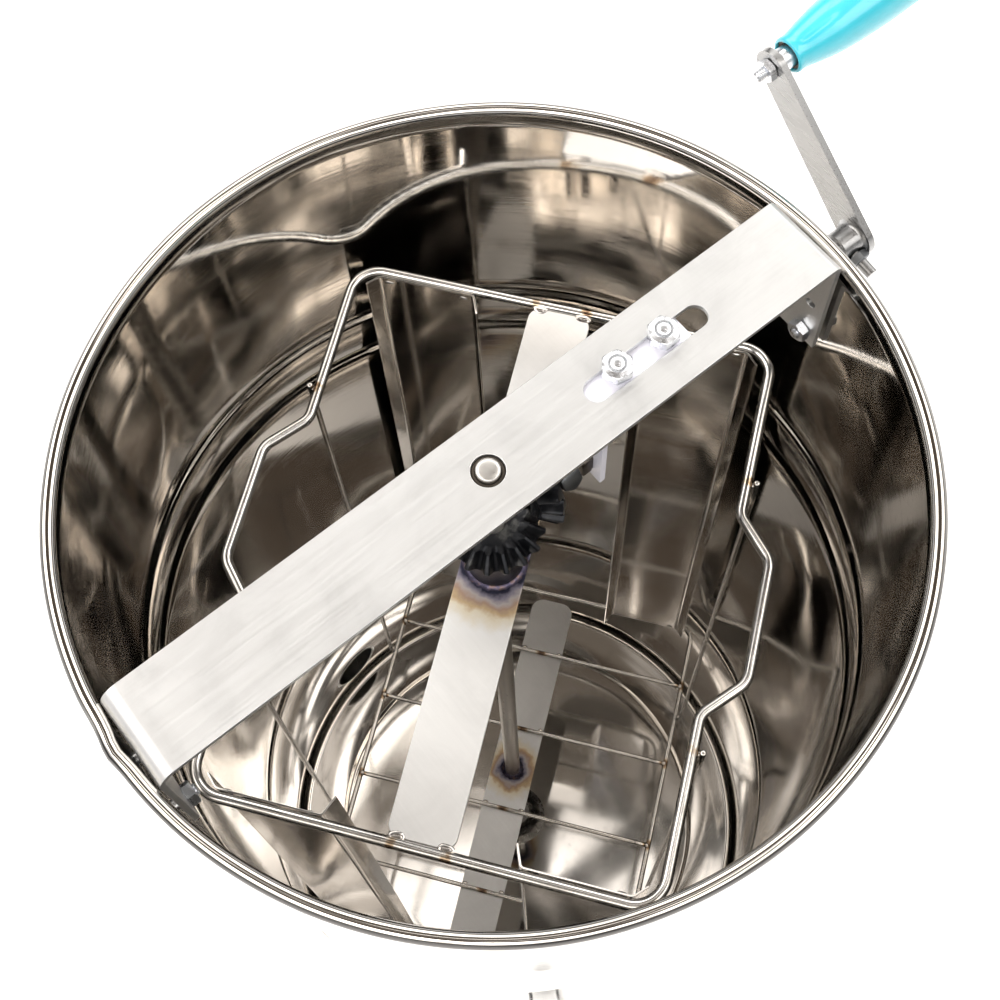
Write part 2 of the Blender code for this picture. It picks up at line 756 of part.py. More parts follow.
blade_shape = arc(PIVOT_UP, 0, 9.0, -80, 80, 6) + arc(0, 0, 25.0, 50, 148, 6)
blade_shape += [(-34.0, 12.0), (-43.0, 12.0), (-47.0, 9.0), (-47.0, -22.0), (-41.0, -30.0)]
blade_shape += [(-36.0, -30.0), (-30.0, -18.0)] + arc(0, 0, 25.0, 222, 310, 6)
v, f = prism(blade_shape, 220.3, 224.3)
pivot_at = tuple(GATE @ Vector((PIVOT_UP, 0, 222.3)))
blade = mesh_object("gate_blade", place(v, GATE), f, NYLON, smooth=28, origin=pivot_at)
notch = [
    (CLAMP_UP - 4.6, -3.8), (CLAMP_UP + 4.2, -3.8), (CLAMP_UP + 4.9, 14.0),
    (CLAMP_UP - 3.9, 14.0),
]
v, f = merged(
    prism(notch, 215, 230),
    rod_mesh(Matrix.Translation((PIVOT_UP, 0, 0)), 3.9, 215, 230, 12),
)
boolean(blade, mesh_object("cut_gate_blade", place(v, GATE), f, None, cutter=True), "DIFFERENCE")

pivot_m = GATE @ Matrix.Translation((PIVOT_UP, 0, 0))
v, f = stack(
    [
        ("hex", 10.0, 210.6),
        ("hex", 10.0, 215.3),
        ("round", 3.5, 215.3),
        ("round", 3.5, 224.6),
        ("round", 7.0, 224.6),
        ("round", 7.0, 225.8),
        ("hex", 10.0, 225.8),
        ("hex", 10.0, 229.4),
        ("round", 4.2, 230.2),
    ]
)
mesh_object("gate_pivot_bolt", place(v, pivot_m), f, ZINC, smooth=28)

clamp_m = GATE @ Matrix.Translation((CLAMP_UP, 0, 0))
clamp_at = tuple(clamp_m @ Vector((0, 0, 222.0)))
v, f = stack(
    [
        ("hex", 9.0, 211.0),
        ("hex", 9.0, 215.2),
        ("round", 3.0, 215.2),
        ("round", 3.0, 224.7),
        ("round", 7.4, 224.7),
        ("round", 7.0, 228.0),
        ("round", 4.6, 233.5),
        ("round", 3.0, 233.5),
        ("round", 3.0, 236.0),
    ]
)
clamp = mesh_object("gate_clamp_screw", place(v, clamp_m), f, ZINC, smooth=28, origin=clamp_at)
wing = [(3.0, 226.0), (9.0, 228.5), (15.5, 233.0), (16.5, 238.5), (13.5, 240.5), (9.5, 238.0), (6.0, 233.0), (3.0, 231.5)]


def wing_mesh(side):
    # The wings stand across the blade's swing, level with the ground at rest.
    rings = [[(t, side * y, z) for y, z in wing] for t in (-1.3, 1.3)]
    vv, ff = loft(rings)
    return place(vv, clamp_m), ff


v, f = merged(wing_mesh(1), wing_mesh(-1))
boolean(clamp, mesh_object("add_wings", v, f, ZINC, cutter=True), "UNION")


# ---- legs ----
def leg_section(n, z, slope):
    """Channel section: web outside, flanges towards the drum, at inner radius n."""
    w, d, t = 15.0, 13.0, 2.0
    pts = [(-w, 0), (-w, d), (w, d), (w, 0), (w - t, 0), (w - t, d - t), (-w + t, d - t), (-w + t, 0)]
    return [(n + y * math.cos(slope), x, z + y * math.sin(slope)) for x, y in pts]


for index, az in enumerate(LEG_AZ):
    tilt = math.atan2(LEG_SPLAY, -LEG_FOOT_Z + 14)
    rings = [
        leg_section(187.7, 150.0, 0.0),
        leg_section(187.7, 14.0, tilt / 2),
        leg_section(187.7 + LEG_SPLAY, LEG_FOOT_Z, 0.0),
    ]
    v, f = loft(rings)
    m = Matrix.Rotation(math.radians(az), 4, "Z")
    mesh_object(f"leg_{index + 1}", place(v, m), f, BRUSHED, smooth=20)
    foot = Matrix.Rotation(math.radians(az), 4, "Z") @ Matrix.Translation(
        (187.7 + LEG_SPLAY + 6.5, 0, 0)
    )
    v, f = stack(
        [
            ("round", 19.0, LEG_FOOT_Z - 14.0),
            ("round", 20.5, LEG_FOOT_Z - 12.0),
            ("round", 20.5, LEG_FOOT_Z - 2.0),
            ("round", 19.0, LEG_FOOT_Z - 0.4),
        ],
        16,
    )
    mesh_object(f"foot_{index + 1}", place(v, foot), f, RUBBER, smooth=28)
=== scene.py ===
"""Looks for the hand-cranked honey extractor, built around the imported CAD. Lengths in mm unless a name ends in _M."""

import math
import random

import bpy
from mathutils import Matrix, Vector, noise


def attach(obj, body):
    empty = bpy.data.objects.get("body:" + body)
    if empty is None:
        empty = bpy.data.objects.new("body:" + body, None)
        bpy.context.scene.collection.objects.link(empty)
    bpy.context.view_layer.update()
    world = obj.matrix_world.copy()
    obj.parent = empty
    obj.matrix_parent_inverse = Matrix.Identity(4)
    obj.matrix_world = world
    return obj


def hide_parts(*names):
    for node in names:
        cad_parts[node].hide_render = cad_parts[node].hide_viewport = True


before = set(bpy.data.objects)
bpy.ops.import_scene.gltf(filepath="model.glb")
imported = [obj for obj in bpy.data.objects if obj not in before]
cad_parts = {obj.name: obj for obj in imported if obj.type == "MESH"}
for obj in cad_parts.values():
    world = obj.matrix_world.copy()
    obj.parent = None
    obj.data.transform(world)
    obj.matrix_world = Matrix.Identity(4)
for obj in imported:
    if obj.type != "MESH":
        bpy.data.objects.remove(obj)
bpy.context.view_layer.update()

MM = 0.001
random.seed(7)

# ---- sizes, as in the CAD ----
WALL_IN, WALL_T, RIM_Z, RIM_R, RIM_C, FLOOR_TOP = 185.0, 1.2, 775.0, 3.5, 187.0, 1.5
BEADS, BEAD_OUT, BEAD_HALF = (190.0, 560.0, 600.0), 2.8, 6.0
BAR_W, BAR_T, BAR_TOP, BAR_END, FLANGE_LOW, BAR_HOLE_R = 44.0, 3.0, 778.5, 181.8, 702.0, 7.5
SLOT = (53.5, 120.5, 11.5)
SHAFT_Z, SHAFT_R, CRANK_R = 735.0, 5.5, 5.9
CRANK_ANGLE, ARM_LEN = math.radians(41.0), 91.0
GRIP_X = (229.3, 341.0)
GEAR_N, GEAR_RP, GEAR_FACE, GEAR_CLEAR = 16, 23.0, 10.0, 0.55
CAGE_ANGLE, CAGE_TOP, CAGE_LOW = math.radians(37.3), 666.0, 192.0
CAGE_U, CAGE_V, BULGE_V = 141.0, 110.0, 128.0
TOP_WIRE_R, LOW_WIRE_R, CROSS_WIRE_R = 2.8, 1.9, 1.6
CROSS_U = (-92.0, -31.0, 31.0, 92.0)
CAGE_BAR_W, CAGE_BAR_T = 32.0, 3.0
ROD_U, ROD_V, ROD_R, POST_T = 68.0, 114.7, 1.5, 1.0
GATE_AZ, GATE_Z, GATE_HOLE_R = math.radians(100.7), 44.0, 23.0
LEG_AZ, LEG_FOOT_Z, LEG_SPLAY = (0.0, 120.0, 240.0), -300.0, 56.0
TURN = Matrix.Rotation(CAGE_ANGLE, 4, "Z")
GROUND_M = -0.314


# ---------------------------------------------------------------- materials
class Nodes:
    """A short way to write a material's node tree."""

    def __init__(self, name):
        self.mat = bpy.data.materials.new(name)
        self.mat.use_nodes = True
        self.tree = self.mat.node_tree
        self.bsdf = self.tree.nodes["Principled BSDF"]
        self.coord = self.tree.nodes.new("ShaderNodeTexCoord").outputs["Object"]

    def new(self, kind, **values):
        node = self.tree.nodes.new(kind)
        for key, value in values.items():
            if hasattr(node, key):
                setattr(node, key, value)
            else:
                node.inputs[key.replace("_", " ")].default_value = value
        return node

    def link(self, a, b):
        self.tree.links.new(a, b)
        return b

    def mapped(self, scale=(1, 1, 1), turn=(0, 0, 0)):
        node = self.new("ShaderNodeMapping")
        node.inputs["Scale"].default_value = scale
        node.inputs["Rotation"].default_value = turn
        self.link(self.coord, node.inputs["Vector"])
        return node.outputs["Vector"]

    def noise(self, scale, detail=3.0, rough=0.55, vector=None, distortion=0.0):
        node = self.new("ShaderNodeTexNoise")
        node.inputs["Scale"].default_value = scale
        node.inputs["Detail"].default_value = detail
        node.inputs["Roughness"].default_value = rough
        node.inputs["Distortion"].default_value = distortion
        self.link(vector or self.coord, node.inputs["Vector"])
        return node.outputs["Fac"]

    def ramp(self, fac, stops, mode="LINEAR"):
        node = self.new("ShaderNodeValToRGB")
        node.color_ramp.interpolation = mode
        while len(node.color_ramp.elements) < len(stops):
            node.color_ramp.elements.new(0.5)
        for element, (place, colour) in zip(node.color_ramp.elements, stops):
            element.position = place
            if not isinstance(colour, (tuple, list)):
                colour = (colour,) * 3
            element.color = (*colour[:3], 1.0)
        self.link(fac, node.inputs["Fac"])
        return node.outputs["Color"]

    def span(self, fac, a, b, lo, hi, smooth=False):
        node = self.new("ShaderNodeMapRange")
        if smooth:
            node.interpolation_type = "SMOOTHSTEP"
        for key, value in zip(("From Min", "From Max", "To Min", "To Max"), (a, b, lo, hi)):
            node.inputs[key].default_value = value
        self.link(fac, node.inputs["Value"])
        return node.outputs["Result"]

    def math(self, op, a, b=None):
        node = self.new("ShaderNodeMath")
        node.operation = op
        for i, x in enumerate((a, b)):
            if x is None:
                continue
            if isinstance(x, (int, float)):
                node.inputs[i].default_value = x
            else:
                self.link(x, node.inputs[i])
        return node.outputs[0]

    def mix(self, fac, a, b, kind="MIX"):
        node = self.new("ShaderNodeMix")
        node.data_type = "RGBA"
        node.blend_type = kind
        for key, x in ((0, fac), (6, a), (7, b)):
            if isinstance(x, (int, float)):
                node.inputs[key].default_value = x
            elif isinstance(x, (tuple, list)):
                node.inputs[key].default_value = (*x[:3], 1.0)
            else:
                self.link(x, node.inputs[key])
        return node.outputs[2]

    def bump(self, height, strength, distance, normal=None):
        node = self.new("ShaderNodeBump")
        node.inputs["Strength"].default_value = strength
        node.inputs["Distance"].default_value = distance
        self.link(height, node.inputs["Height"])
        if normal is not None:
            self.link(normal, node.inputs["Normal"])
        return node.outputs["Normal"]

    def distance(self, x, y, flat=True, z=0.0):
        """Metres from a point in plan, or in space."""
        sub = self.new("ShaderNodeVectorMath")
        sub.operation = "SUBTRACT"
        self.link(self.coord, sub.inputs[0])
        sub.inputs[1].default_value = (x, y, z)
        out = sub.outputs[0]
        if flat:
            scale = self.new("ShaderNodeVectorMath")
            scale.operation = "MULTIPLY"
            self.link(out, scale.inputs[0])
            scale.inputs[1].default_value = (1, 1, 0)
            out = scale.outputs[0]
        size = self.new("ShaderNodeVectorMath")
        size.operation = "LENGTH"
        self.link(out, size.inputs[0])
        return size.outputs["Value"]

    def done(self, colour=None, rough=None, normal=None, metallic=1.0, coat=0.0):
        b = self.bsdf
        b.inputs["Metallic"].default_value = metallic
        if coat:
            b.inputs["Coat Weight"].default_value = coat
            b.inputs["Coat Roughness"].default_value = 0.06
        for key, x in (("Base Color", colour), ("Roughness", rough), ("Normal", normal)):
            if x is None:
                continue
            if isinstance(x, (int, float)):
                b.inputs[key].default_value = x
            elif isinstance(x, (tuple, list)):
                b.inputs[key].default_value = (*x[:3], 1.0)
            else:
                self.link(x, b.inputs[key])
        return self.mat


def polished(name, colour, lo, hi, wave=0.35, smears=True, stretch=(1, 1, 0.45), size=7.0, rim=False):
    """Bright rolled sheet: faint smears, wiping marks and the slow waves of thin metal."""
    n = Nodes(name)
    broad = n.noise(9.0, 4.0, 0.6, distortion=0.6)
    fine = n.noise(160.0, 3.0, 0.6)
    wipes = n.noise(1.0, 4.0, 0.7, n.mapped((14, 14, 260)))
    rough = n.span(broad, 0.35, 0.72, lo, hi)
    if smears:
        rough = n.math("ADD", rough, n.span(wipes, 0.45, 0.8, 0.0, 0.05))
    rough = n.math("ADD", rough, n.span(fine, 0.55, 0.8, 0.0, 0.03))
    tone = n.ramp(broad, [(0.3, colour), (0.7, [c * 0.93 for c in colour])])
    spots = n.noise(55.0, 2.0, 0.5)
    tone = n.mix(n.span(spots, 0.68, 0.74, 0.0, 0.35), tone, [c * 0.7 for c in colour])
    parts = n.new("ShaderNodeSeparateXYZ")
    n.link(n.coord, parts.inputs[0])
    if rim:
        # Painted shade: the roll's outer half is darkened nearly to black, a shadow line painted where the roll closes
        # against the wall.
        painted_light_mask = n.math("MULTIPLY", n.span(n.distance(0.0, 0.0), 0.1884, 0.1896, 0.0, 0.86, True), n.span(parts.outputs["Z"], 0.762, 0.764, 0.0, 1.0))
        tone = n.mix(painted_light_mask, tone, (0.05, 0.048, 0.05))
    normal = n.bump(n.noise(size, 2.0, 0.5, n.mapped(stretch)), wave, 0.004)
    if rim:
        n.link(n.span(parts.outputs["Z"], 0.004, 0.03, wave * 0.12, wave), normal.node.inputs["Strength"])
    normal = n.bump(wipes, 0.04, 0.0004, normal)
    return n.done(tone, rough, normal)


def brushed(name, colour, lo, hi, along=(1, 0, 0), marks=0.12, turn=0.0):
    """Satin sheet with fine scratches along one direction and soft grey handling marks."""
    n = Nodes(name)
    stretch = [900.0, 900.0, 900.0]
    for i in range(3):
        if along[i]:
            stretch[i] = 22.0
    vec = n.mapped(tuple(stretch), (0, 0, turn))
    lines = n.noise(1.0, 3.0, 0.7, vec)
    blotch = n.noise(26.0, 5.0, 0.65, distortion=0.8)
    broad = n.noise(7.0, 2.0, 0.5)
    tone = n.ramp(blotch, [(0.32, [c * 0.90 for c in colour]), (0.52, colour), (0.75, [min(1, c * 1.04) for c in colour])])
    tone = n.mix(n.span(lines, 0.3, 0.75, 0.0, marks), tone, [c * 0.72 for c in colour])
    rough = n.math("ADD", n.span(broad, 0.3, 0.7, lo, hi), n.span(lines, 0.35, 0.7, -0.03, 0.06))
    normal = n.bump(lines, 0.10, 0.00015)
    normal = n.bump(blotch, 0.05, 0.0008, normal)
    return n.done(tone, rough, normal)


def heat_bar(name, hub_r, reach, dark_r, metallic, colour=(0.95, 0.945, 0.935)):
    """Flat bar with temper colours round the weld of its hub."""
    n = Nodes(name)
    lines = n.noise(1.0, 3.0, 0.7, n.mapped((900, 24, 900), (0, 0, -CAGE_ANGLE - math.pi / 2)))
    blotch = n.noise(24.0, 5.0, 0.6, distortion=0.7)
    tone = n.ramp(blotch, [(0.3, [c * 0.90 for c in colour]), (0.6, colour)])
    tone = n.mix(n.span(lines, 0.3, 0.8, 0.0, 0.14), tone, [c * 0.7 for c in colour])
    far = n.distance(0.0, 0.0)
    wobble = n.noise(95.0, 3.0, 0.6)
    far = n.math("ADD", far, n.span(wobble, 0.2, 0.8, -0.0035, 0.0035))
    t = n.span(far, hub_r, hub_r + reach, 0.0, 1.0)
    burnt = n.ramp(
        t,
        [
            (0.0, (0.012, 0.012, 0.02)),
            (dark_r, (0.035, 0.035, 0.06)),
            (dark_r + 0.09, (0.25, 0.23, 0.29)),
            (dark_r + 0.19, (0.50, 0.45, 0.44)),
            (dark_r + 0.30, (0.46, 0.32, 0.24)),
            (dark_r + 0.40, (0.62, 0.46, 0.28)),
            (dark_r + 0.52, (0.84, 0.75, 0.58)),
        ],
    )
    fade = n.span(t, dark_r + 0.42, 1.0, 1.0, 0.0, True)
    tone = n.mix(fade, tone, burnt)
    broad = n.noise(9.0, 2.0, 0.5)
    rough = n.math("ADD", n.span(broad, 0.3, 0.7, 0.40, 0.50), n.span(t, 0.0, 0.5, 0.06, 0.0))
    normal = n.bump(lines, 0.08, 0.00015)
    normal = n.bump(blotch, 0.05, 0.001, normal)
    return n.done(tone, rough, normal, metallic=metallic)


def wire(name, colour, burns=(), reach=0.007):
    """Drawn wire with fine die lines, and brown burn marks at its spot welds."""
    n = Nodes(name)
    tone = n.ramp(n.noise(70.0, 4.0, 0.6), [(0.3, [c * 0.85 for c in colour]), (0.65, colour)])
    if burns:
        near = None
        for x, y, z in burns:
            d = n.distance(x, y, False, z)
            near = d if near is None else n.math("MINIMUM", near, d)
        near = n.math("ADD", near, n.span(n.noise(240.0, 2.0), 0.2, 0.8, -0.0012, 0.0012))
        burnt = n.ramp(
            n.span(near, 0.0, reach, 0.0, 1.0),
            [(0.1, (0.05, 0.04, 0.035)), (0.4, (0.22, 0.14, 0.09)), (0.62, (0.5, 0.37, 0.24)), (0.85, (0.78, 0.71, 0.6))],
        )
        tone = n.mix(n.span(near, reach * 0.45, reach, 1.0, 0.0, True), tone, burnt)
    rough = n.span(n.noise(120.0, 3.0), 0.3, 0.7, 0.12, 0.24)
    return n.done(tone, rough, n.bump(n.noise(700.0, 2.0), 0.06, 0.0001))


def plated(name, colour, rough, patch=0.85):
    """Zinc plate: a faint frosting of pale and dull patches."""
    n = Nodes(name)
    cells = n.new("ShaderNodeTexVoronoi")
    cells.inputs["Scale"].default_value = 420.0
    n.link(n.coord, cells.inputs["Vector"])
    mottle = n.noise(150.0, 5.0, 0.65)
    tone = n.ramp(mottle, [(0.3, [c * patch for c in colour]), (0.7, colour)])
    tone = n.mix(n.span(cells.outputs["Distance"], 0.0, 0.6, 0.0, 0.12), tone, [c * 0.8 for c in colour])
    r = n.span(mottle, 0.3, 0.7, rough - 0.07, rough + 0.08)
    return n.done(tone, r, n.bump(mottle, 0.08, 0.0002))


def cast(name):
    """Black cast gear: grainy and oily, with painted highlights: pale noise patches that stand in for glints."""
    n = Nodes(name)
    grain = n.noise(380.0, 5.0, 0.7)
    painted_light_mask = n.noise(75.0, 4.0, 0.6)
    # Painted highlight: where the noise runs high, the colour turns light grey to act as glints.
    tone = n.ramp(painted_light_mask, [(0.45, (0.012, 0.013, 0.016)), (0.62, (0.035, 0.036, 0.04)), (0.78, (0.22, 0.22, 0.21))])
    rough = n.span(painted_light_mask, 0.35, 0.75, 0.28, 0.5)
    normal = n.bump(grain, 0.35, 0.0004)
    return n.done(tone, rough, normal, metallic=0.75)


def plastic(name, colour, lo, hi, coat=0.0, grain=900.0, depth=0.05, shade=0.88):
    n = Nodes(name)
    broad = n.noise(22.0, 4.0, 0.6)
    tone = n.ramp(broad, [(0.3, [c * shade for c in colour]), (0.7, colour)])
    scuffs = n.noise(1.0, 3.0, 0.7, n.mapped((60, 900, 900)))
    tone = n.mix(n.span(scuffs, 0.66, 0.8, 0.0, 0.25), tone, [min(1, c * 1.25 + 0.04) for c in colour])
    rough = n.math("ADD", n.span(broad, 0.3, 0.7, lo, hi), n.span(scuffs, 0.6, 0.8, 0.0, 0.12))
    return n.done(tone, rough, n.bump(n.noise(grain, 2.0), depth, 0.0003), metallic=0.0, coat=coat)


def spin(u, v, z):
    return tuple(c * MM for c in TURN @ Vector((u, v, z)))


low_burns = [spin(u, s * CAGE_V, CAGE_LOW) for u in CROSS_U for s in (1, -1)]
low_burns += [spin(u, 0, CAGE_LOW) for u in CROSS_U]
top_burns = [spin(s * CAGE_U, v, CAGE_TOP) for s in (1, -1) for v in (-13, 13)]
top_burns += [spin(a * ROD_U, b * 111, CAGE_TOP) for a in (1, -1) for b in (1, -1)]

STEEL_TONE = (0.80, 0.78, 0.75)
M = {
    "wall": polished("mat_wall", (0.80, 0.77, 0.73), 0.035, 0.075, 0.16, True, (1, 1, 0.08), 14.0, True),
    "sheet": polished("mat_sheet", (0.84, 0.81, 0.77), 0.04, 0.09, 0.18),
    "crossbar": brushed("mat_crossbar", (0.755, 0.758, 0.758), 0.38, 0.47, (1, 0, 0), 0.16),
    "arm": brushed("mat_arm", (0.36, 0.36, 0.362), 0.22, 0.32, (0, 1, 0), 0.2),
    "stub": brushed("mat_stub", (0.76, 0.755, 0.74), 0.25, 0.36, (0, 0, 1), 0.15),
    "leg": brushed("mat_leg", (0.74, 0.74, 0.73), 0.28, 0.40, (0, 0, 1), 0.15),
    "top_bar": heat_bar("mat_top_bar", 0.0125, 0.026, 0.16, 0.9),
    "low_bar": heat_bar("mat_low_bar", 0.0055, 0.020, 0.12, 0.95),
    "top_wire": wire("mat_top_wire", (0.80, 0.785, 0.76), top_burns, 0.005),
    "low_wire": wire("mat_low_wire", (0.74, 0.72, 0.69), low_burns, 0.006),
    "rod": wire("mat_rod", (0.72, 0.70, 0.67)),
    "zinc": plated("mat_zinc", (0.86, 0.88, 0.92), 0.28),
    "steel": plated("mat_steel", (0.55, 0.545, 0.54), 0.25, 0.75),
    "shaft": plated("mat_shaft", (0.72, 0.70, 0.67), 0.33, 0.92),
    "screw": plated("mat_screw", (0.20, 0.21, 0.22), 0.38, 0.8),
    "bracket": plastic("mat_bracket", (0.74, 0.73, 0.80), 0.32, 0.42, 0.2, 500.0, 0.06),
    "cast": cast("mat_cast"),
    "bush": plated("mat_bush", (0.11, 0.095, 0.08), 0.42, 0.7),
    "nylon": plastic("mat_nylon", (0.80, 0.785, 0.72), 0.36, 0.46, 0.0, 700.0, 0.05, 0.93),
    "grip": plastic("mat_grip", (0.042, 0.40, 0.49), 0.16, 0.24, 0.9, 350.0, 0.03, 0.86),
    "rubber": plastic("mat_rubber", (0.028, 0.028, 0.03), 0.68, 0.82, 0.0, 600.0, 0.2, 0.75),
    "weld": wire("mat_weld", (0.66, 0.63, 0.60)),
}


# ---------------------------------------------------------------- mesh helpers
def volume_of(verts, faces):
    total = 0.0
    for face in faces:
        a = Vector(verts[face[0]])
        for i in range(1, len(face) - 1):
            total += a.dot(Vector(verts[face[i]]).cross(Vector(verts[face[i + 1]])))
    return total


def raw_object(name, verts, faces):
    if volume_of(verts, faces) < 0:
        faces = [tuple(reversed(face)) for face in faces]
    mesh = bpy.data.meshes.new(name)
    mesh.from_pydata([tuple(Vector(v) * MM) for v in verts], [], faces)
    mesh.update()
    obj = bpy.data.objects.new(name, mesh)
    bpy.context.scene.collection.objects.link(obj)
    return obj


def bake_modifiers(obj):
    graph = bpy.context.evaluated_depsgraph_get()
    mesh = bpy.data.meshes.new_from_object(obj.evaluated_get(graph))
    obj.modifiers.clear()
    obj.data = mesh


def piece(name, shape, mat, body, node, smooth=38, bevel=0.0, segments=2, cuts=(), adds=()):
    """Builds one visible piece that stands for a CAD node."""
    obj = raw_object(name, *shape)
    helpers = []
    for operation, others in (("UNION", adds), ("DIFFERENCE", cuts)):
        for other in others:
            helper = raw_object("helper", *other)
            helpers.append(helper)
            mod = obj.modifiers.new("cut", "BOOLEAN")
            mod.operation, mod.solver, mod.object = operation, "EXACT", helper
    if bevel:
        mod = obj.modifiers.new("edge", "BEVEL")
        mod.width = bevel * MM
        mod.segments = segments
        mod.limit_method = "ANGLE"
        mod.angle_limit = math.radians(34)
        mod.use_clamp_overlap = True
    bake_modifiers(obj)
    for helper in helpers:
        bpy.data.objects.remove(helper, do_unlink=True)
    mesh = obj.data
    mesh.materials.clear()
    mesh.materials.append(mat)
    mesh.polygons.foreach_set("material_index", [0] * len(mesh.polygons))
    mesh.polygons.foreach_set("use_smooth", [True] * len(mesh.polygons))
    mesh.set_sharp_from_angle(angle=math.radians(smooth))
    if bevel:
        mod = obj.modifiers.new("even", "WEIGHTED_NORMAL")
        mod.keep_sharp = True
        bake_modifiers(obj)
    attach(obj, body)
    if node:
        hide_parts(node)
    return obj


def loft(rings, closed=False):
    n = len(rings[0])
    verts = [p for ring in rings for p in ring]
    faces = []
    pairs = list(zip(range(len(rings)), range(1, len(rings))))
    if closed:
        pairs.append((len(rings) - 1, 0))
    for a, b in pairs:
        for i in range(n):
            j = (i + 1) % n
            faces.append((a * n + i, a * n + j, b * n + j, b * n + i))
    if not closed:
        faces.append(tuple(range(n - 1, -1, -1)))
        faces.append(tuple((len(rings) - 1) * n + i for i in range(n)))
    return verts, faces


def lathe(profile, segs, shift=None):
    """Closed profile of (r, z) turned about Z. shift(angle, r, z) may move a point along r."""
    verts, index = [], []
    for r, z in profile:
        if r < 1e-6:
            index.append([len(verts)] * segs)
            verts.append((0.0, 0.0, z))
        else:
            index.append(list(range(len(verts), len(verts) + segs)))
            for k in range(segs):
                a = 2 * math.pi * k / segs
                q = r + (shift(a, r, z) if shift else 0.0)
                verts.append((q * math.cos(a), q * math.sin(a), z))
    faces = []
    count = len(profile)
    for i in range(count):
        first, second = index[i], index[(i + 1) % count]
        if profile[i][0] < 1e-6 and profile[(i + 1) % count][0] < 1e-6:
            continue
        for k in range(segs):
            m = (k + 1) % segs
            clean = []
            for v in (first[k], first[m], second[m], second[k]):
                if v not in clean:
                    clean.append(v)
            if len(clean) >= 3:
                faces.append(tuple(clean))
    return verts, faces


def place(shape, matrix):
    verts, faces = shape
    return [tuple(matrix @ Vector(v)) for v in verts], faces


def merged(*parts):
    verts, faces = [], []
    for v, f in parts:
        start = len(verts)
        if volume_of(v, f) < 0:
            f = [tuple(reversed(face)) for face in f]
        verts += v
        faces += [tuple(i + start for i in face) for face in f]
    return verts, faces


def axes(origin, axis, side):
    z = Vector(axis).normalized()
    x = Vector(side)
    x = (x - z * x.dot(z)).normalized()
    y = z.cross(x)
    return Matrix(((x.x, y.x, z.x, origin[0]), (x.y, y.y, z.y, origin[1]), (x.z, y.z, z.z, origin[2]), (0, 0, 0, 1)))


def move(x, y, z):
    return Matrix.Translation((x, y, z))


ROUND = 48


def ring_at(kind, size, z, count=ROUND, turn=0.0):
    ring = []
    for k in range(count):
        a = 2 * math.pi * k / count
        if kind == "round":
            r = size
        else:
            d = (a + math.pi / 6) % (math.pi / 3) - math.pi / 6
            r = size[0] / 2 / math.cos(d) if isinstance(size, tuple) else size / 2 / math.cos(d)
            if isinstance(size, tuple):
                r = min(r, size[1])
        ring.append((r * math.cos(a + turn), r * math.sin(a + turn), z))
    return ring


def turned(sections, count=ROUND):
    """Sections along Z. Kinds: round r, hex across-flats, nut (hex with chamfered corners, z is its far face),
    thread r (from the last z to this one)."""
    rings, last = [], None
    for kind, size, z in sections:
        if kind == "thread":
            pitch = 1.0 if size < 3.4 else 1.25
            steps = max(4, int(round((z - last) / pitch * 8)))
            for i in range(steps + 1):
                zz = last + (z - last) * i / steps
                ring = []
                for k in range(count):
                    a = 2 * math.pi * k / count
                    phase = (zz / pitch - k / count) % 1.0
                    wave = abs(phase - 0.5) * 2
                    r = size - 0.52 * pitch * min(1.0, max(0.0, 1.15 * wave - 0.08))
                    ring.append((r * math.cos(a), r * math.sin(a), zz))
                rings.append(ring)
        elif kind == "nut":
            half, corner = size / 2, size / 2 / math.cos(math.pi / 6)
            c = (corner - half) * 0.58
            steps = ((0.0, half * 0.985), (c * 0.35, half * 1.055), (c * 0.7, half * 1.11), (c, corner))
            for d, r in steps:
                rings.append(ring_at("hex", (size, r), last + d, count))
            for d, r in reversed(steps):
                rings.append(ring_at("hex", (size, r), z - d, count))
        else:
            rings.append(ring_at(kind, size, z, count))
        last = z
    return loft(rings)


def bored(sections, bore, count=ROUND):
    rings = [ring_at(kind, size, z, count) for kind, size, z in sections]
    rings.append(ring_at("round", bore, sections[-1][2], count))
    rings.append(ring_at("round", bore, sections[0][2], count))
    return loft(rings, closed=True)


def rod(matrix, r, z0, z1, count=ROUND):
    return place(turned([("round", r, z0), ("round", r, z1)], count), matrix)


def prism(outline, z0, z1):
    return loft([[(x, y, z) for x, y in outline] for z in (z0, z1)])


def arc(cx, cy, r, a0, a1, n):
    return [
        (cx + r * math.cos(math.radians(a0 + (a1 - a0) * i / n)), cy + r * math.sin(math.radians(a0 + (a1 - a0) * i / n)))
        for i in range(n + 1)
    ]


def tube(points, radius, sides=16, closed=False, taper=False):
    rings, count = [], len(points)
    side = None
    for i, p in enumerate(points):
        p = Vector(p)
        before = Vector(points[i - 1 if closed or i else 0])
        after = Vector(points[(i + 1) % count if closed or i + 1 < count else i])
        t = (after - before).normalized()
        ref = Vector((0, 0, 1)) if abs(t.z) < 0.9 else Vector((1, 0, 0))
        side = ref.cross(t).normalized()
        up = t.cross(side)
        rings.append([tuple(p + side * (radius * math.cos(a)) + up * (radius * math.sin(a))) for a in (2 * math.pi * (k + 0.5) / sides for k in range(sides))])
    if taper and not closed:
        for at, near in ((0, 1), (-1, -2)):
            centre = sum((Vector(q) for q in rings[at]), Vector()) / sides
            back = (Vector(points[near]) - Vector(points[at])).normalized()
            rings[at] = [tuple(centre + (Vector(q) - centre) * 0.72) for q in rings[at]]
            rim = [tuple(centre + back * (radius * 0.3) + (Vector(q) - centre) / 0.72) for q in rings[at]]
            rings.insert(1 if at == 0 else len(rings) - 1, rim)
    return loft(rings, closed)


def dense(points, step, closed=False):
    """The same polyline with points no further apart than step."""
    out = []
    count = len(points)
    for i in range(count if closed else count - 1):
        a, b = Vector(points[i]), Vector(points[(i + 1) % count])
        n = max(1, math.ceil((b - a).length / step))
        out += [tuple(a.lerp(b, k / n)) for k in range(n)]
    if not closed:
        out.append(tuple(points[-1]))
    return out


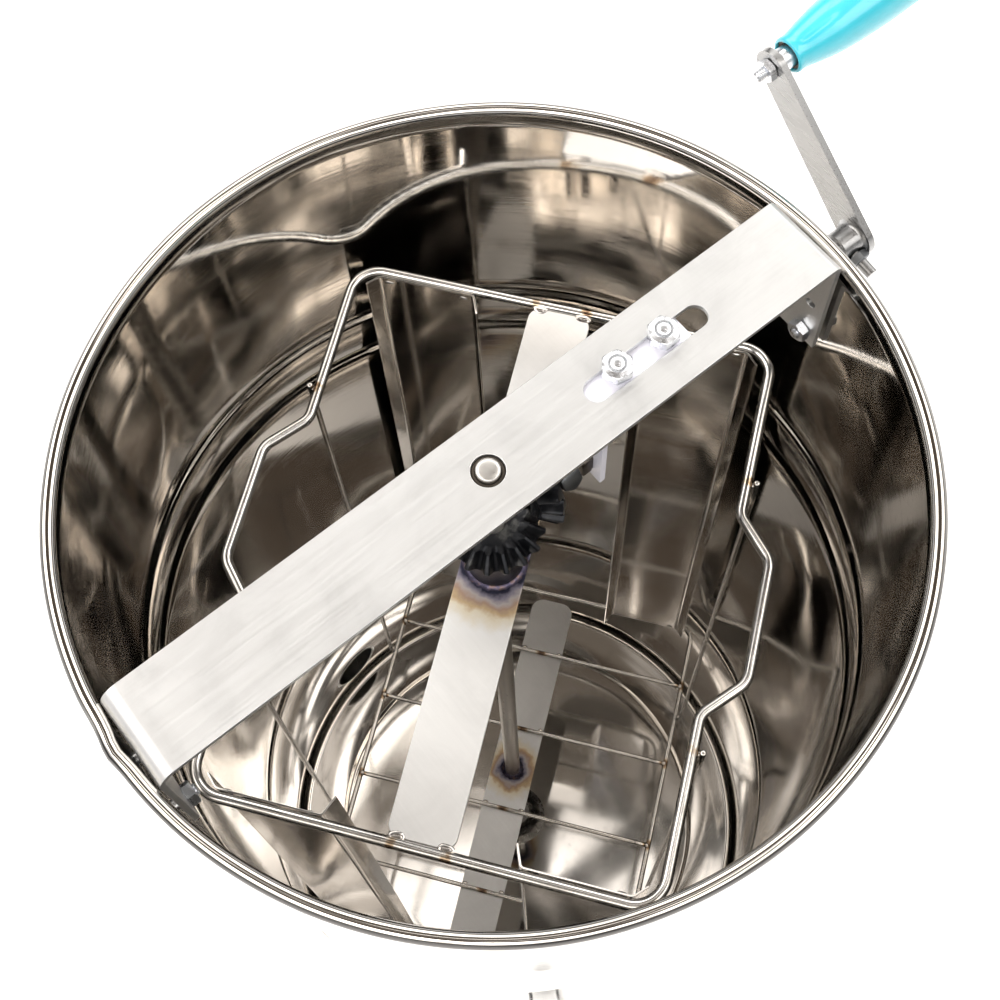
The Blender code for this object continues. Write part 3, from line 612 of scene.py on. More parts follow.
def blob(centre, radii, seed, rows=7, cols=12, rough=0.22):
    """A lumpy weld bead."""
    verts, faces = [(centre[0], centre[1], centre[2] - radii[2])], []
    for i in range(1, rows):
        t = math.pi * i / rows
        for k in range(cols):
            a = 2 * math.pi * k / cols
            p = Vector((math.sin(t) * math.cos(a), math.sin(t) * math.sin(a), -math.cos(t)))
            g = 1 + rough * noise.noise(p * 1.7 + Vector((seed * 3.1, seed * 1.7, 0)))
            verts.append(tuple(centre[j] + p[j] * radii[j] * g for j in range(3)))
    verts.append((centre[0], centre[1], centre[2] + radii[2]))
    top = len(verts) - 1
    for k in range(cols):
        m = (k + 1) % cols
        faces.append((0, 1 + m, 1 + k))
        for i in range(rows - 2):
            a, b = 1 + i * cols, 1 + (i + 1) * cols
            faces.append((a + k, a + m, b + m, b + k))
        last = 1 + (rows - 2) * cols
        faces.append((last + k, last + m, top))
    return verts, faces


def along_x(y=0.0, z=0.0):
    return axes((0, y, z), (1, 0, 0), (0, 1, 0))


# ---------------------------------------------------------------- drum
def bead_row(base, z, sign):
    row = []
    for i in range(-8, 9):
        s = i / 8
        row.append((base + BEAD_OUT * (0.5 + 0.5 * math.cos(math.pi * s)), z + BEAD_HALF * 1.15 * s))
    return row if sign > 0 else row[::-1]


def filled(points, step):
    out = []
    for a, b in zip(points, points[1:] + points[:1]):
        n = max(1, int(abs(b[1] - a[1]) // step)) if abs(b[1] - a[1]) > abs(b[0] - a[0]) else 1
        out += [(a[0] + (b[0] - a[0]) * k / n, a[1] + (b[1] - a[1]) * k / n) for k in range(n)]
    return out


OUT_R = WALL_IN + WALL_T
profile = [(0.0, 0.0), (60.0, 0.0), (120.0, 0.0), (180.0, 0.0), (182.6, -0.5), (183.6, -2.0), (184.0, -5.0), (184.4, -7.6), (185.0, -8.0)]
profile += [(186.6, -8.0), (187.2, -7.6), (187.3, -5.0), (187.0, -3.6), (OUT_R, -2.5)]
for z in BEADS:
    profile += bead_row(OUT_R, z, 1)
c = RIM_Z - RIM_R
a_out = -math.degrees(math.acos((OUT_R - RIM_C) / RIM_R))
a_in = 360 - math.degrees(math.acos((WALL_IN - RIM_C) / RIM_R))
# the roll stands proud of the wall outside and ends in a tight curl below
profile += arc(RIM_C, c, RIM_R, a_out, a_in - 360 if a_in - a_out > 360 else a_in, 30)
for z in reversed(BEADS):
    profile += bead_row(WALL_IN, z, -1)
profile += arc(WALL_IN - 6.5, 8.0, 6.5, 0, -90, 8)
profile += [(172.0, 1.5), (168.0, 1.3), (150.0, 1.05), (149.0, 1.2), (147.0, 1.8), (145.0, 1.9), (120.0, 1.6), (60.0, FLOOR_TOP), (0.0, FLOOR_TOP)]
profile = filled(profile, 9.0)


def wander(a, r, z):
    """Thin sheet is never quite round, and the rim is pushed out where the bar's far corner bears on it."""
    if r < 170:
        return 0.0
    s = 0.16 * math.sin(3 * a + z / 140.0) + 0.10 * math.sin(7 * a - z / 75.0 + 1.3) + 0.06 * math.sin(13 * a + z / 48.0)
    grip = min(1.0, max(0.0, (z - 20) / 120.0))
    d = (a - math.radians(179.6) + math.pi) % (2 * math.pi) - math.pi
    bulge = 1.2 * math.exp(-((d / 0.032) ** 2)) - 0.4 * math.exp(-(((d + 0.08) / 0.04) ** 2))
    high = min(1.0, max(0.0, (z - 742.0) / 22.0))
    return s * grip + bulge * high


drum_shape = lathe(profile, 256, wander)
GATE = axes((0, 0, GATE_Z), (math.cos(GATE_AZ), math.sin(GATE_AZ), 0.0), (0, 0, 1))
BOLT_YZ = ((-13.5, 711.0), (13.5, 711.0))
cuts = [rod(GATE, GATE_HOLE_R, 150, 215, 64), rod(along_x(0, SHAFT_Z), 8.6, 165, 205, 32)]
for y, z in BOLT_YZ:
    cuts.append(rod(along_x(y, z), 3.4, 170, 200, 20))
    cuts.append(rod(along_x(y, z), 3.4, -200, -170, 20))
drum = piece("drum_shell", drum_shape, M["wall"], "drum_body", "drum", smooth=50, cuts=[merged(*cuts)])

# The rolled sheet's lengthwise weld, ground nearly flush, outside at the back of the outlet side.
seam_az = math.radians(205.0)
outer = [(r, z) for r, z in profile[: len(profile) // 2] if r > 184 and 3 < z < 764]
rings = []
for r, z in outer:
    ring = []
    for s, h in ((-2.4, 0.02), (-1.5, 0.16), (-0.5, 0.27), (0.5, 0.27), (1.5, 0.16), (2.4, 0.02), (1.6, -0.35), (-1.6, -0.35)):
        q = r + h + 0.05 * math.sin(z * 1.9) + wander(seam_az, r, z)
        a = seam_az + s / r
        ring.append((q * math.cos(a), q * math.sin(a), z))
    rings.append(ring)
piece("drum_seam", loft(rings), M["weld"], "drum_body", None, smooth=60)

# ---------------------------------------------------------------- crossbar
x, top, t = BAR_END, BAR_TOP, BAR_T
left, right = 9.0, 4.5
pts = [(-x, FLANGE_LOW), (-x + t, FLANGE_LOW)]
pts += arc(-x + left, top - left, left - t, 180, 90, 12)
pts += arc(x - right, top - right, right - t, 90, 0, 6)
pts += [(x - t, FLANGE_LOW), (x, FLANGE_LOW)]
pts += arc(x - right, top - right, right, 0, 90, 10)
pts += arc(-x + left, top - left, left, 90, 180, 16)
bar_shape = loft([[(px, y, pz) for px, pz in pts] for y in (-BAR_W / 2, BAR_W / 2)])
slot = arc(SLOT[0] + SLOT[2] / 2, 0, SLOT[2] / 2, 90, 270, 20) + arc(SLOT[1] - SLOT[2] / 2, 0, SLOT[2] / 2, -90, 90, 20)
cuts = [rod(Matrix.Identity(4), BAR_HOLE_R, 770, 785, 48), prism(slot, 770, 785)]
cuts.append(rod(along_x(0, SHAFT_Z), 8.6, 175, 190, 32))
for y in (-13.7, 13.7):
    cuts.append(rod(along_x(y, SHAFT_Z + 0.5), 2.7, 175, 190, 20))
for y, z in BOLT_YZ:
    cuts.append(rod(along_x(y, z), 3.4, 175, 190, 20))
    cuts.append(rod(along_x(y, z), 3.4, -190, -175, 20))
piece("crossbar_plate", bar_shape, M["crossbar"], "drum_body", "crossbar", smooth=30, bevel=0.45, segments=3, cuts=[merged(*cuts)])

index = 0
for sign in (1, -1):
    for y, z in BOLT_YZ:
        index += 1
        bolt = turned(
            [
                ("round", 2.2, 172.6), ("round", 2.9, 173.3), ("thread", 3.0, 174.1), ("round", 3.0, 174.1),
                ("nut", 10.0, 178.5), ("round", 3.0, 178.5), ("round", 2.95, 186.9), ("round", 6.0, 186.95),
                ("round", 6.0, 188.0), ("round", 4.9, 188.0), ("nut", 10.0, 191.3), ("round", 3.6, 191.5), ("round", 2.0, 192.0),
            ]
        )
        m = axes((0, y, z), (sign, 0, 0), (0, 0, 1)) @ Matrix.Rotation(0.35 * index, 4, "Z")
        piece(f"crossbar_bolt_look_{index}", place(bolt, m), M["zinc"], "drum_body", f"crossbar_bolt_{index}", smooth=35)

# ---------------------------------------------------------------- bushes and bracket
shape = lathe([(5.8, 772.2), (10.6, 772.2), (11.0, 772.6), (11.0, 774.7), (10.6, 775.1), (7.2, 775.1), (7.2, 777.1), (6.9, 777.4), (6.1, 777.4), (5.8, 777.1)], 64)
piece("top_bush_look", shape, M["bush"], "drum_body", "top_bush", smooth=35)
shape = lathe(
    [
        (0.0, 1.8), (23.4, 1.8), (24.0, 2.4), (24.0, 3.9), (23.4, 4.3), (19.0, 6.0), (17.6, 7.2), (12.6, 15.6), (12.0, 17.0), (11.6, 18.4), (11.0, 19.0),
        (6.9, 19.0), (6.1, 18.3), (6.1, 7.0), (0.0, 4.6),
    ],
    64,
)
piece("floor_pivot_look", shape, M["steel"], "drum_body", "floor_pivot", smooth=35)

outline = [(49.0, 721.0), (52.0, 721.0)] + arc(55.0, 769.2, 3.0, 180, 90, 6) + [(109.0, 772.2), (109.0, 775.2)] + arc(55.0, 769.2, 6.0, 90, 180, 10)
shape = loft([[(px, y, pz) for px, pz in outline] for y in (-17.0, 17.0)])
cuts = [rod(along_x(0, SHAFT_Z), 8.6, 40, 60, 32)]
NUT_X, NUT_Y = (71.7, 97.7), 1.5
for nx in NUT_X:
    cuts.append(rod(axes((nx, NUT_Y, 0), (0, 0, 1), (1, 0, 0)), 4.3, 765, 780, 24))
piece("bracket_look", shape, M["bracket"], "drum_body", "crank_bracket", smooth=30, bevel=0.4, cuts=[merged(*cuts)])
for index, nx in enumerate(NUT_X):
    bolt = turned(
        [
            ("round", 6.2, 766.4), ("nut", 13.0, 771.9), ("round", 3.9, 771.9), ("round", 3.9, 778.8), ("round", 5.9, 778.8),
            ("nut", 13.0, 784.6), ("round", 4.7, 784.7), ("round", 4.1, 785.0), ("round", 4.1, 785.9), ("round", 3.95, 786.4), ("round", 3.4, 787.0), ("round", 2.4, 787.5), ("round", 1.2, 787.8), ("round", 0.4, 787.85),
        ],
        60,
    )
    turn = move(nx, NUT_Y, 0) @ Matrix.Rotation(math.radians(20.8 + 10 * index), 4, "Z")
    piece(f"bracket_bolt_look_{index + 1}", place(bolt, turn), M["zinc"], "drum_body", f"bracket_bolt_{index + 1}", smooth=38)

m = along_x(0, SHAFT_Z)
shape = bored([("hex", (24.0, 12.3), 42.6), ("hex", (24.0, 13.4), 43.2), ("hex", 24.0, 43.7), ("hex", 24.0, 48.0), ("hex", (24.0, 13.2), 48.7), ("round", 8.2, 48.7), ("round", 8.2, 57.2), ("round", 7.8, 57.5)], 6.2)
piece("inner_bush_look", place(shape, m), M["bush"], "drum_body", "inner_bush", smooth=35)
shape = bored([("round", 8.0, 176.5), ("round", 8.2, 176.8), ("round", 8.2, 187.2), ("round", 12.7, 187.2), ("round", 13.0, 187.6), ("round", 13.0, 189.4), ("round", 12.7, 189.8), ("round", 8.4, 189.8), ("round", 8.4, 202.5), ("round", 7.9, 203.0)], 6.2)
piece("outer_bush_look", place(shape, m), M["steel"], "drum_body", "outer_bush", smooth=35)


# ---------------------------------------------------------------- gears
def bevel_gear(hub_r, hub_z, bore, phase):
    """Apex at the origin, axis +Z, hub below: straight teeth with curved flanks and rounded tips."""
    c = math.sqrt(0.5)
    mod = 2 * GEAR_RP / GEAR_N
    tip_h, root_h = 0.8 * mod, -1.05 * mod
    inner = 1.0 - GEAR_FACE * c / GEAR_RP
    step = 2 * math.pi / GEAR_N

    def half(h):
        curve = 0.05 * mod * (h / mod) ** 2
        return (math.pi * mod / 4 - h * math.tan(math.radians(20)) - GEAR_CLEAR / 2 - curve) / (GEAR_RP + h * c)

    levels = [root_h, root_h * 0.8, root_h * 0.35, 0.0, tip_h * 0.5, tip_h * 0.86]
    flank = [(h, half(h)) for h in levels] + [(tip_h, half(tip_h) * 0.72)]
    flank[0] = (root_h, half(root_h) * 1.16)
    row = [(h, -s) for h, s in flank] + [(tip_h * 1.02, 0.0)] + [(h, s) for h, s in reversed(flank)]

    def tooth_ring(scale, shrink=0.0):
        ring = []
        for k in range(GEAR_N):
            mid = phase + k * step
            for h, s in row:
                hh = h - shrink * (h - root_h) / (tip_h - root_h)
                r, z = (GEAR_RP + hh * c) * scale, (-GEAR_RP + hh * c) * scale
                a = mid + s * (1 - 0.1 * shrink)
                ring.append((r * math.cos(a), r * math.sin(a), z))
        return ring

    def round_ring(r, z):
        ring = []
        for k in range(GEAR_N):
            for i in range(len(row)):
                a = phase + (k - 0.5 + (i + 0.5) / len(row)) * step
                ring.append((r * math.cos(a), r * math.sin(a), z))
        return ring

    back = -GEAR_RP + root_h * c - 2.2
    front = (-GEAR_RP + root_h * c) * inner - 0.4
    root_r = GEAR_RP + root_h * c
    return loft(
        [
            round_ring(bore, hub_z),
            round_ring(hub_r - 0.6, hub_z),
            round_ring(hub_r, hub_z + 0.6),
            round_ring(hub_r, back - 1.2),
            round_ring(hub_r + 0.8, back - 0.3),
            round_ring(root_r - 2.4, back),
            round_ring(root_r - 1.4, back + 0.4),
            tooth_ring(1.005, 0.5),
            tooth_ring(0.985),
            tooth_ring(inner + 0.02),
            tooth_ring(inner, 0.4),
            round_ring(root_r * inner - 2.0, front + 0.2),
            round_ring(root_r * inner - 3.4, front),
            round_ring(bore, front),
        ],
        closed=True,
    )


APEX = (0.0, 0.0, SHAFT_Z)
shape = place(bevel_gear(14.0, CAGE_TOP + 1.3 - SHAFT_Z, SHAFT_R + 0.1, 0.0), move(*APEX))
piece("rotor_gear_look", shape, M["cast"], "rotor", "rotor_gear", smooth=32)
to_crank = Matrix(((0, 0, -1, 0), (0, 1, 0, 0), (1, 0, 0, SHAFT_Z), (0, 0, 0, 1)))


def radial(x, angle):
    return axes((x, 0, SHAFT_Z), (0, math.cos(angle), math.sin(angle)), (1, 0, 0))


GEAR_SCREW = radial(33.9, math.radians(150))
HUB_SCREW = radial(213.2, math.radians(188))
shape = place(bevel_gear(12.5, -39.5, CRANK_R + 0.1, math.pi / GEAR_N), to_crank)
piece("crank_gear_look", shape, M["cast"], "crank", "crank_gear", smooth=32, cuts=[rod(GEAR_SCREW, 3.0, 6.4, 20.0, 20)])
screw = [("round", 2.6, 6.4), ("thread", 2.7, 12.9), ("round", 4.9, 12.9), ("nut", 10.0, 17.6), ("round", 4.0, 17.9), ("round", 2.5, 18.3)]
piece("gear_screw_look", place(turned(screw), GEAR_SCREW), M["screw"], "crank", "gear_set_screw", smooth=35)

# ---------------------------------------------------------------- crank
shape = turned([("round", 4.9, 9.2), ("round", CRANK_R, 10.2), ("round", CRANK_R, 60), ("round", CRANK_R, 120), ("round", CRANK_R, 224.6), ("round", 5.4, 225.2), ("round", 4.6, 225.5)])
piece("crank_shaft_look", place(shape, m), M["steel"], "crank", "crank_shaft", smooth=35)

ARM = axes(APEX, (1, 0, 0), (0, math.cos(CRANK_ANGLE), math.sin(CRANK_ANGLE)))
plate = arc(0, 0, 11.0, 90, 270, 32) + arc(ARM_LEN, 0, 9.0, -90, 90, 24)
handle_m = ARM @ move(ARM_LEN, 0, 0)
hub = place(turned([("round", 7.5, 207.5), ("round", 8.0, 208.0), ("round", 8.0, 221.0)], 60), ARM)
fillet = place(lathe([(0.0, 220.0), (0.0, 216.6), (7.9, 216.6), (8.3, 217.7), (9.0, 218.5), (9.9, 219.1), (9.9, 220.0)], 60), ARM)
cuts = [merged(rod(ARM, CRANK_R + 0.15, 200, 240, 40), rod(handle_m, 3.15, 208, 226, 24)), rod(HUB_SCREW, 3.0, 4.0, 20.0, 20)]
piece("crank_arm_look", place(prism(plate, 219.0, 222.5), ARM), M["arm"], "crank", "crank_arm", smooth=32, bevel=0.5, cuts=cuts, adds=[hub, fillet])
low = [("round", 2.6, 6.4), ("round", 2.6, 8.3), ("round", 4.9, 8.3), ("nut", 10.0, 12.2), ("round", 4.0, 12.4), ("round", 2.5, 12.6)]
piece("hub_screw_look", place(turned(low), HUB_SCREW), M["screw"], "crank", "hub_set_screw", smooth=35)
shape = turned(
    [
        ("round", 2.2, 209.6), ("round", 2.9, 210.3), ("thread", 3.0, 214.8), ("round", 4.9, 214.8), ("nut", 10.0, 218.7), ("round", 3.0, 218.7),
        ("round", 3.0, 222.8), ("round", 6.2, 222.8), ("round", 6.5, 223.0), ("round", 6.5, 223.8), ("round", 6.2, 224.0), ("round", 5.6, 224.0),
        ("round", 5.6, 234.2), ("round", 5.3, 234.5), ("round", 3.0, 234.5), ("round", 3.0, 337.0), ("round", 6.2, 337.0), ("round", 6.4, 337.4), ("round", 6.1, 339.0), ("round", 4.6, 339.6),
    ]
)
piece("handle_bolt_look", place(shape, handle_m), M["zinc"], "crank", "handle_bolt", smooth=35)


def smooth_profile(points, n=6):
    """Catmull-Rom through (r, z) points."""
    out = []
    for i in range(len(points) - 1):
        p0, p1 = points[max(i - 1, 0)], points[i]
        p2, p3 = points[i + 1], points[min(i + 2, len(points) - 1)]
        for k in range(n):
            s = k / n
            out.append(
                tuple(
                    0.5 * (2 * p1[j] + (p2[j] - p0[j]) * s + (2 * p0[j] - 5 * p1[j] + 4 * p2[j] - p3[j]) * s * s + (3 * p1[j] - p0[j] - 3 * p2[j] + p3[j]) * s**3)
                    for j in (0, 1)
                )
            )
    return out + [points[-1]]


g0, g1 = GRIP_X
outer = smooth_profile(
    [
        (8.9, g0 + 0.5), (9.2, g0 + 1.6), (9.5, g0 + 6.0), (11.4, g0 + 15.0), (13.4, g0 + 27.0), (14.6, g0 + 45.0),
        (14.9, g0 + 62.0), (14.3, g0 + 82.0), (13.0, g0 + 98.0), (11.2, g1 - 4.0), (9.6, g1 - 1.2), (8.2, g1 - 0.2), (7.0, g1),
    ]
)
shape = lathe([(3.4, g0 + 5.5), (7.3, g0 + 5.5), (7.3, g0 + 0.5), (7.6, g0), (8.2, g0)] + outer + [(6.9, g1 - 0.6), (6.9, 336.4), (3.4, 336.4)], 72)
piece("grip_look", place(shape, handle_m), M["grip"], "grip", "handle_grip", smooth=40)
# Painted shade: a dark ring of the bush material sits inside the grip's end recess and stands in for the recess's
# shadow.
shape = lathe([(6.0, g0 + 1.6), (7.25, g0 + 1.6), (7.25, g0 + 5.4), (6.0, g0 + 5.4)], 64)
piece("grip_recess_shade_ring", place(shape, handle_m), M["bush"], "grip", None, smooth=35)

# ---------------------------------------------------------------- rotor
shape = turned([("round", 1.6, 7.6), ("round", 3.8, 9.2), ("round", 5.1, 11.5), ("round", SHAFT_R, 12.5), ("round", SHAFT_R, 400.0), ("round", SHAFT_R, 779.2), ("round", 5.3, 779.6), ("round", 4.9, 779.9), ("round", 3.6, 780.08), ("round", 2.2, 780.15), ("round", 0.8, 780.2)])
piece("rotor_shaft_look", shape, M["shaft"], "rotor", "rotor_shaft", smooth=32)


def rounded_bar(half_u, width, corner, n=10):
    h = width / 2
    pts = []
    for cx, cy, a in ((half_u - corner, h - corner, 0), (-half_u + corner, h - corner, 90), (-half_u + corner, -h + corner, 180), (half_u - corner, -h + corner, 270)):
        pts += arc(cx, cy, corner, a, a + 90, n)
    return pts


def flat_bar(name, node, half_u, corner, z1, mat):
    shape = place(prism(rounded_bar(half_u, CAGE_BAR_W, corner), z1 - CAGE_BAR_T, z1), TURN)
    piece(name, shape, mat, "rotor", node, smooth=30, bevel=0.35, segments=3, cuts=[rod(Matrix.Identity(4), SHAFT_R + 0.1, z1 - 10, z1 + 10, 40)])


flat_bar("top_bar_look", "rotor_top_bar", CAGE_U - TOP_WIRE_R - 0.2, 6.0, CAGE_TOP + 1.0, M["top_bar"])
flat_bar("low_bar_look", "rotor_low_bar", 135.5, 9.0, CAGE_LOW - CROSS_WIRE_R - 0.2, M["low_bar"])

half = []
half += arc(CAGE_U - 15, CAGE_V - 15, 15, 0, 90, 14)
half += arc(54.0, CAGE_V + 9, 9, 270, 228, 6)
half += arc(26.0, BULGE_V - 12, 12, 48, 90, 7)
half += arc(-26.0, BULGE_V - 12, 12, 90, 132, 7)
half += arc(-54.0, CAGE_V + 9, 9, 312, 270, 6)
half += arc(-CAGE_U + 15, CAGE_V - 15, 15, 90, 180, 14)
loop = half + [(-px, -py) for px, py in half]
# drawn wire bent by hand: it wanders a little up and down
pts = dense([(px, py, CAGE_TOP) for px, py in loop], 9.0, True)
pts = [(px, py, pz + 0.5 * math.sin(px / 37.0 + 1.0) * math.cos(py / 41.0)) for px, py, pz in pts]
top_frame = [tube(pts, TOP_WIRE_R, 20, closed=True)]
piece("top_frame_look", place(merged(*top_frame), TURN), M["top_wire"], "rotor", "rotor_top_frame", smooth=60)

low_loop = rounded_bar(CAGE_U - 0.5, 2 * (CAGE_V + 0.5), 14.0, 12)
pts = dense([(px, py, CAGE_LOW) for px, py in low_loop], 9.0, True)
parts = [tube(pts, LOW_WIRE_R, 16, closed=True)]
for k, u in enumerate(CROSS_U):
    run = [(u, -CAGE_V - 1.6, CAGE_LOW + 0.2), (u + 0.3 * (k % 2), 0, CAGE_LOW - 0.1), (u, CAGE_V + 1.6, CAGE_LOW + 0.2)]
    parts.append(tube(dense(run, 12.0), CROSS_WIRE_R, 16, taper=True))
piece("low_frame_look", place(merged(*parts), TURN), M["low_wire"], "rotor", "rotor_low_frame", smooth=60)

for index, (su, sv) in enumerate(((1, 1), (-1, 1), (-1, -1), (1, -1))):
    px, py = su * ROD_U, sv * ROD_V
    run = [(px, py, CAGE_LOW - 2.5), (px + 0.4 * su, py, (CAGE_LOW + CAGE_TOP) / 2), (px, py, CAGE_TOP + 2.5)]
    piece(f"rod_look_{index + 1}", place(tube(dense(run, 30.0), ROD_R, 16, taper=True), TURN), M["rod"], "rotor", f"rotor_rod_{index + 1}", smooth=60)


def post_line():
    """Centre line of the folded sheet in plan, at +U +V; its corners are left sharp for rounded_line to round."""
    u = CAGE_U - TOP_WIRE_R - 0.5
    inner = math.radians(22)
    mid = [(u - 6.0, 103.4), (u, 97.4), (u, 46.0), (u - 11 * math.cos(inner), 46.0 - 11 * math.sin(inner))]
    return [Vector(p) for p in mid]


def rounded_line(points, r, n=6):
    out = [points[0]]
    for i in range(1, len(points) - 1):
        p = points[i]
        a = (points[i - 1] - p).normalized()
        b = (points[i + 1] - p).normalized()
        for k in range(n + 1):
            s = k / n
            q = (p + a * r) * (1 - s) ** 2 + p * (2 * s * (1 - s)) + (p + b * r) * s**2
            out.append(q)
    out.append(points[-1])
    return out


line = rounded_line(post_line(), 2.0)
line = [line[0], *line[1:8], *[line[7].lerp(line[8], k / 6) for k in range(1, 6)], *line[8:]]
edge, back = [], []
for i, p in enumerate(line):
    d = (line[min(i + 1, len(line) - 1)] - line[max(i - 1, 0)]).normalized()
    nrm = Vector((-d.y, d.x))
    edge.append(p)
    back.append(p - nrm * POST_T)
outline = [tuple(p) for p in edge + back[::-1]]
half_len = (CAGE_TOP - CAGE_LOW) / 2
for index, (su, sv) in enumerate(((1, 1), (-1, 1), (-1, -1), (1, -1))):
    rings = []
    for k in range(13):
        z = CAGE_LOW - 1.5 + (CAGE_TOP - CAGE_LOW + 3.0) * k / 12
        bow = 0.5 * (1 - ((z - CAGE_LOW - half_len) / half_len) ** 2) + 0.12 * math.sin(z / 43.0 + index)
        rings.append([(su * (px - bow), sv * py, z) for px, py in outline])
    piece(f"post_look_{index + 1}", place(loft(rings), TURN), M["sheet"], "rotor", f"rotor_post_{index + 1}", smooth=25, bevel=0.2)

# Weld beads of the rotor: bars to wires, cross wires to their neighbours, posts and rods to both frames.
beads, seed = [], 0
for s in (1, -1):
    for v in (-12.0, 11.0):
        seed += 1
        beads.append(blob((s * (CAGE_U - 3.2), v, CAGE_TOP + 0.9), (2.5, 4.2, 0.8), seed))
    for k, u in enumerate(CROSS_U):
        seed += 1
        beads.append(blob((u, s * (CAGE_V - 0.6), CAGE_LOW + 0.5), (2.3, 2.1, 2.0), seed))
        for v in (-13.8, 13.8):
            seed += 1
            beads.append(blob((u + 1.6, v * s, CAGE_LOW - 0.9), (1.9, 2.2, 1.0), seed))
for su in (1, -1):
    for sv in (1, -1):
        for z in (CAGE_TOP - 2.2, CAGE_LOW + 2.0):
            seed += 2
            beads.append(blob((su * ROD_U, sv * 112.6, z), (1.9, 1.7, 1.7), seed))
            beads.append(blob((su * (CAGE_U - 3.6), sv * 92.0, z), (1.5, 3.2, 1.5), seed + 1))
            beads.append(blob((su * (CAGE_U - 3.6), sv * 52.0, z), (1.5, 3.0, 1.5), seed + 2))
piece("rotor_welds", place(merged(*beads), TURN), M["weld"], "rotor", None, smooth=60)


def collar(r, z, wide, high, lumps, seed):
    """A weld fillet round a shaft where it meets a plate."""
    rings = []
    count = 56
    for d, h in ((-0.3, -0.3), (wide, -0.25), (wide * 0.8, high * 0.3), (wide * 0.35, high * 0.75), (0.0, high), (-0.3, high)):
        ring = []
        for k in range(count):
            a = 2 * math.pi * k / count
            g = 1 + 0.16 * math.sin(lumps * a + 0.4 * math.sin(3 * a)) + 0.2 * noise.noise(Vector((math.cos(a) * 2, math.sin(a) * 2, seed)))
            ring.append(((r + max(d, -0.3) * (g if d > 0 else 1)) * math.cos(a), (r + max(d, -0.3) * (g if d > 0 else 1)) * math.sin(a), z + h * (g if h > 0 else 1)))
        rings.append(ring)
    return loft(rings, closed=True)


welds = merged(collar(SHAFT_R, CAGE_LOW - CROSS_WIRE_R, 2.6, 1.8, 14, 1.0), collar(14.0, CAGE_TOP + 1.0, 2.2, 1.6, 22, 5.0))
n = Nodes("mat_burnt_weld")
tone = n.ramp(n.noise(210.0, 4.0, 0.6), [(0.3, (0.02, 0.02, 0.03)), (0.5, (0.09, 0.08, 0.13)), (0.7, (0.22, 0.14, 0.10))])
burnt_weld = n.done(tone, n.span(n.noise(90.0), 0.3, 0.7, 0.25, 0.5), n.bump(n.noise(500.0, 3.0), 0.3, 0.0004), metallic=0.85)
piece("rotor_fillets", welds, burnt_weld, "rotor", None, smooth=60)

# ---------------------------------------------------------------- outlet valve
shape = bored(
    [
        ("round", 22.2, 184.2), ("round", 22.5, 184.6), ("round", 22.5, 187.1), ("round", 31.6, 187.1), ("round", 32.0, 187.5),
        ("round", 32.0, 188.7), ("round", 31.6, 189.1), ("round", 23.6, 189.2), ("round", 22.7, 190.0), ("round", 22.5, 191.0), ("round", 22.5, 213.0),
    ],
    20.4,
    96,
)
piece("gate_stub_look", place(shape, GATE), M["stub"], "drum_body", "gate_stub", smooth=30)
PIVOT_UP, CLAMP_UP = 39.0, -37.0
seat = arc(PIVOT_UP, 0, 9.5, -75, 75, 20) + arc(0, 0, 31.0, 60, 150, 24)
seat += arc(CLAMP_UP, 0, 8.0, 105, 255, 18) + arc(0, 0, 31.0, 210, 300, 24)
rings = []
for z, ribs in ((190.0, 0), (190.6, 0), (191.2, 1), (212.5, 1), (213.2, 0), (217.0, 0)):
    ring = []
    for k in range(240):
        a = 2 * math.pi * k / 240
        r = 29.0 + (0.75 * max(0.0, math.cos(30 * a)) ** 0.7 if ribs and math.cos(30 * a) > 0 else 0.0)
        ring.append((r * math.cos(a), r * math.sin(a), z))
    rings.append(ring)
grip_ring = place(loft(rings), GATE)
cuts = [
    merged(
        rod(GATE, 22.9, 180, 216.0, 64),
        rod(GATE @ move(PIVOT_UP, 0, 0), 3.9, 210, 225, 24),
        rod(GATE @ move(CLAMP_UP, 0, 0), 3.4, 210, 225, 24),
    ),
    rod(GATE, 19.5, 210, 225, 64),
]
piece("gate_body_look", place(prism(seat, 215.6, 220.0), GATE), M["nylon"], "drum_body", "gate_body", smooth=30, bevel=0.4, cuts=cuts, adds=[grip_ring])

blade = arc(PIVOT_UP, 0, 9.0, -80, 80, 20) + arc(0, 0, 25.0, 50, 148, 26)
blade += [(-34.0, 12.0), (-43.0, 12.0), (-45.5, 11.2), (-47.0, 9.0), (-47.0, -22.0), (-45.0, -27.0), (-41.0, -30.0)]
blade += [(-38.0, -30.5), (-36.0, -30.0), (-30.0, -18.0)] + arc(0, 0, 25.0, 222, 310, 24)
notch = [(CLAMP_UP - 4.6, -3.8), (CLAMP_UP + 4.2, -3.8), (CLAMP_UP + 4.9, 14.0), (CLAMP_UP - 3.9, 14.0)]
dish = place(lathe([(0.0, 223.4), (14.0, 223.4), (15.5, 223.7), (17.0, 224.6), (17.0, 226.0), (0.0, 226.0)], 64), GATE)
cuts = [merged(prism(notch, 215, 230), rod(move(PIVOT_UP, 0, 0), 3.9, 215, 230, 24))]
cuts = [place(cuts[0], GATE), dish]
piece("gate_blade_look", place(prism(blade, 220.3, 224.3), GATE), M["nylon"], "gate_blade_body", "gate_blade", smooth=30, bevel=0.5, cuts=cuts)

shape = turned(
    [
        ("round", 4.9, 210.6), ("nut", 10.0, 215.3), ("round", 3.5, 215.3), ("round", 3.5, 224.6), ("round", 6.8, 224.6), ("round", 7.0, 224.8),
        ("round", 7.0, 225.7), ("round", 6.8, 225.8), ("round", 4.9, 225.8), ("nut", 10.0, 229.4), ("round", 3.6, 229.5), ("round", 2.2, 230.2),
    ]
)
piece("gate_pivot_look", place(shape, GATE @ move(PIVOT_UP, 0, 0)), M["zinc"], "drum_body", "gate_pivot_bolt", smooth=35)

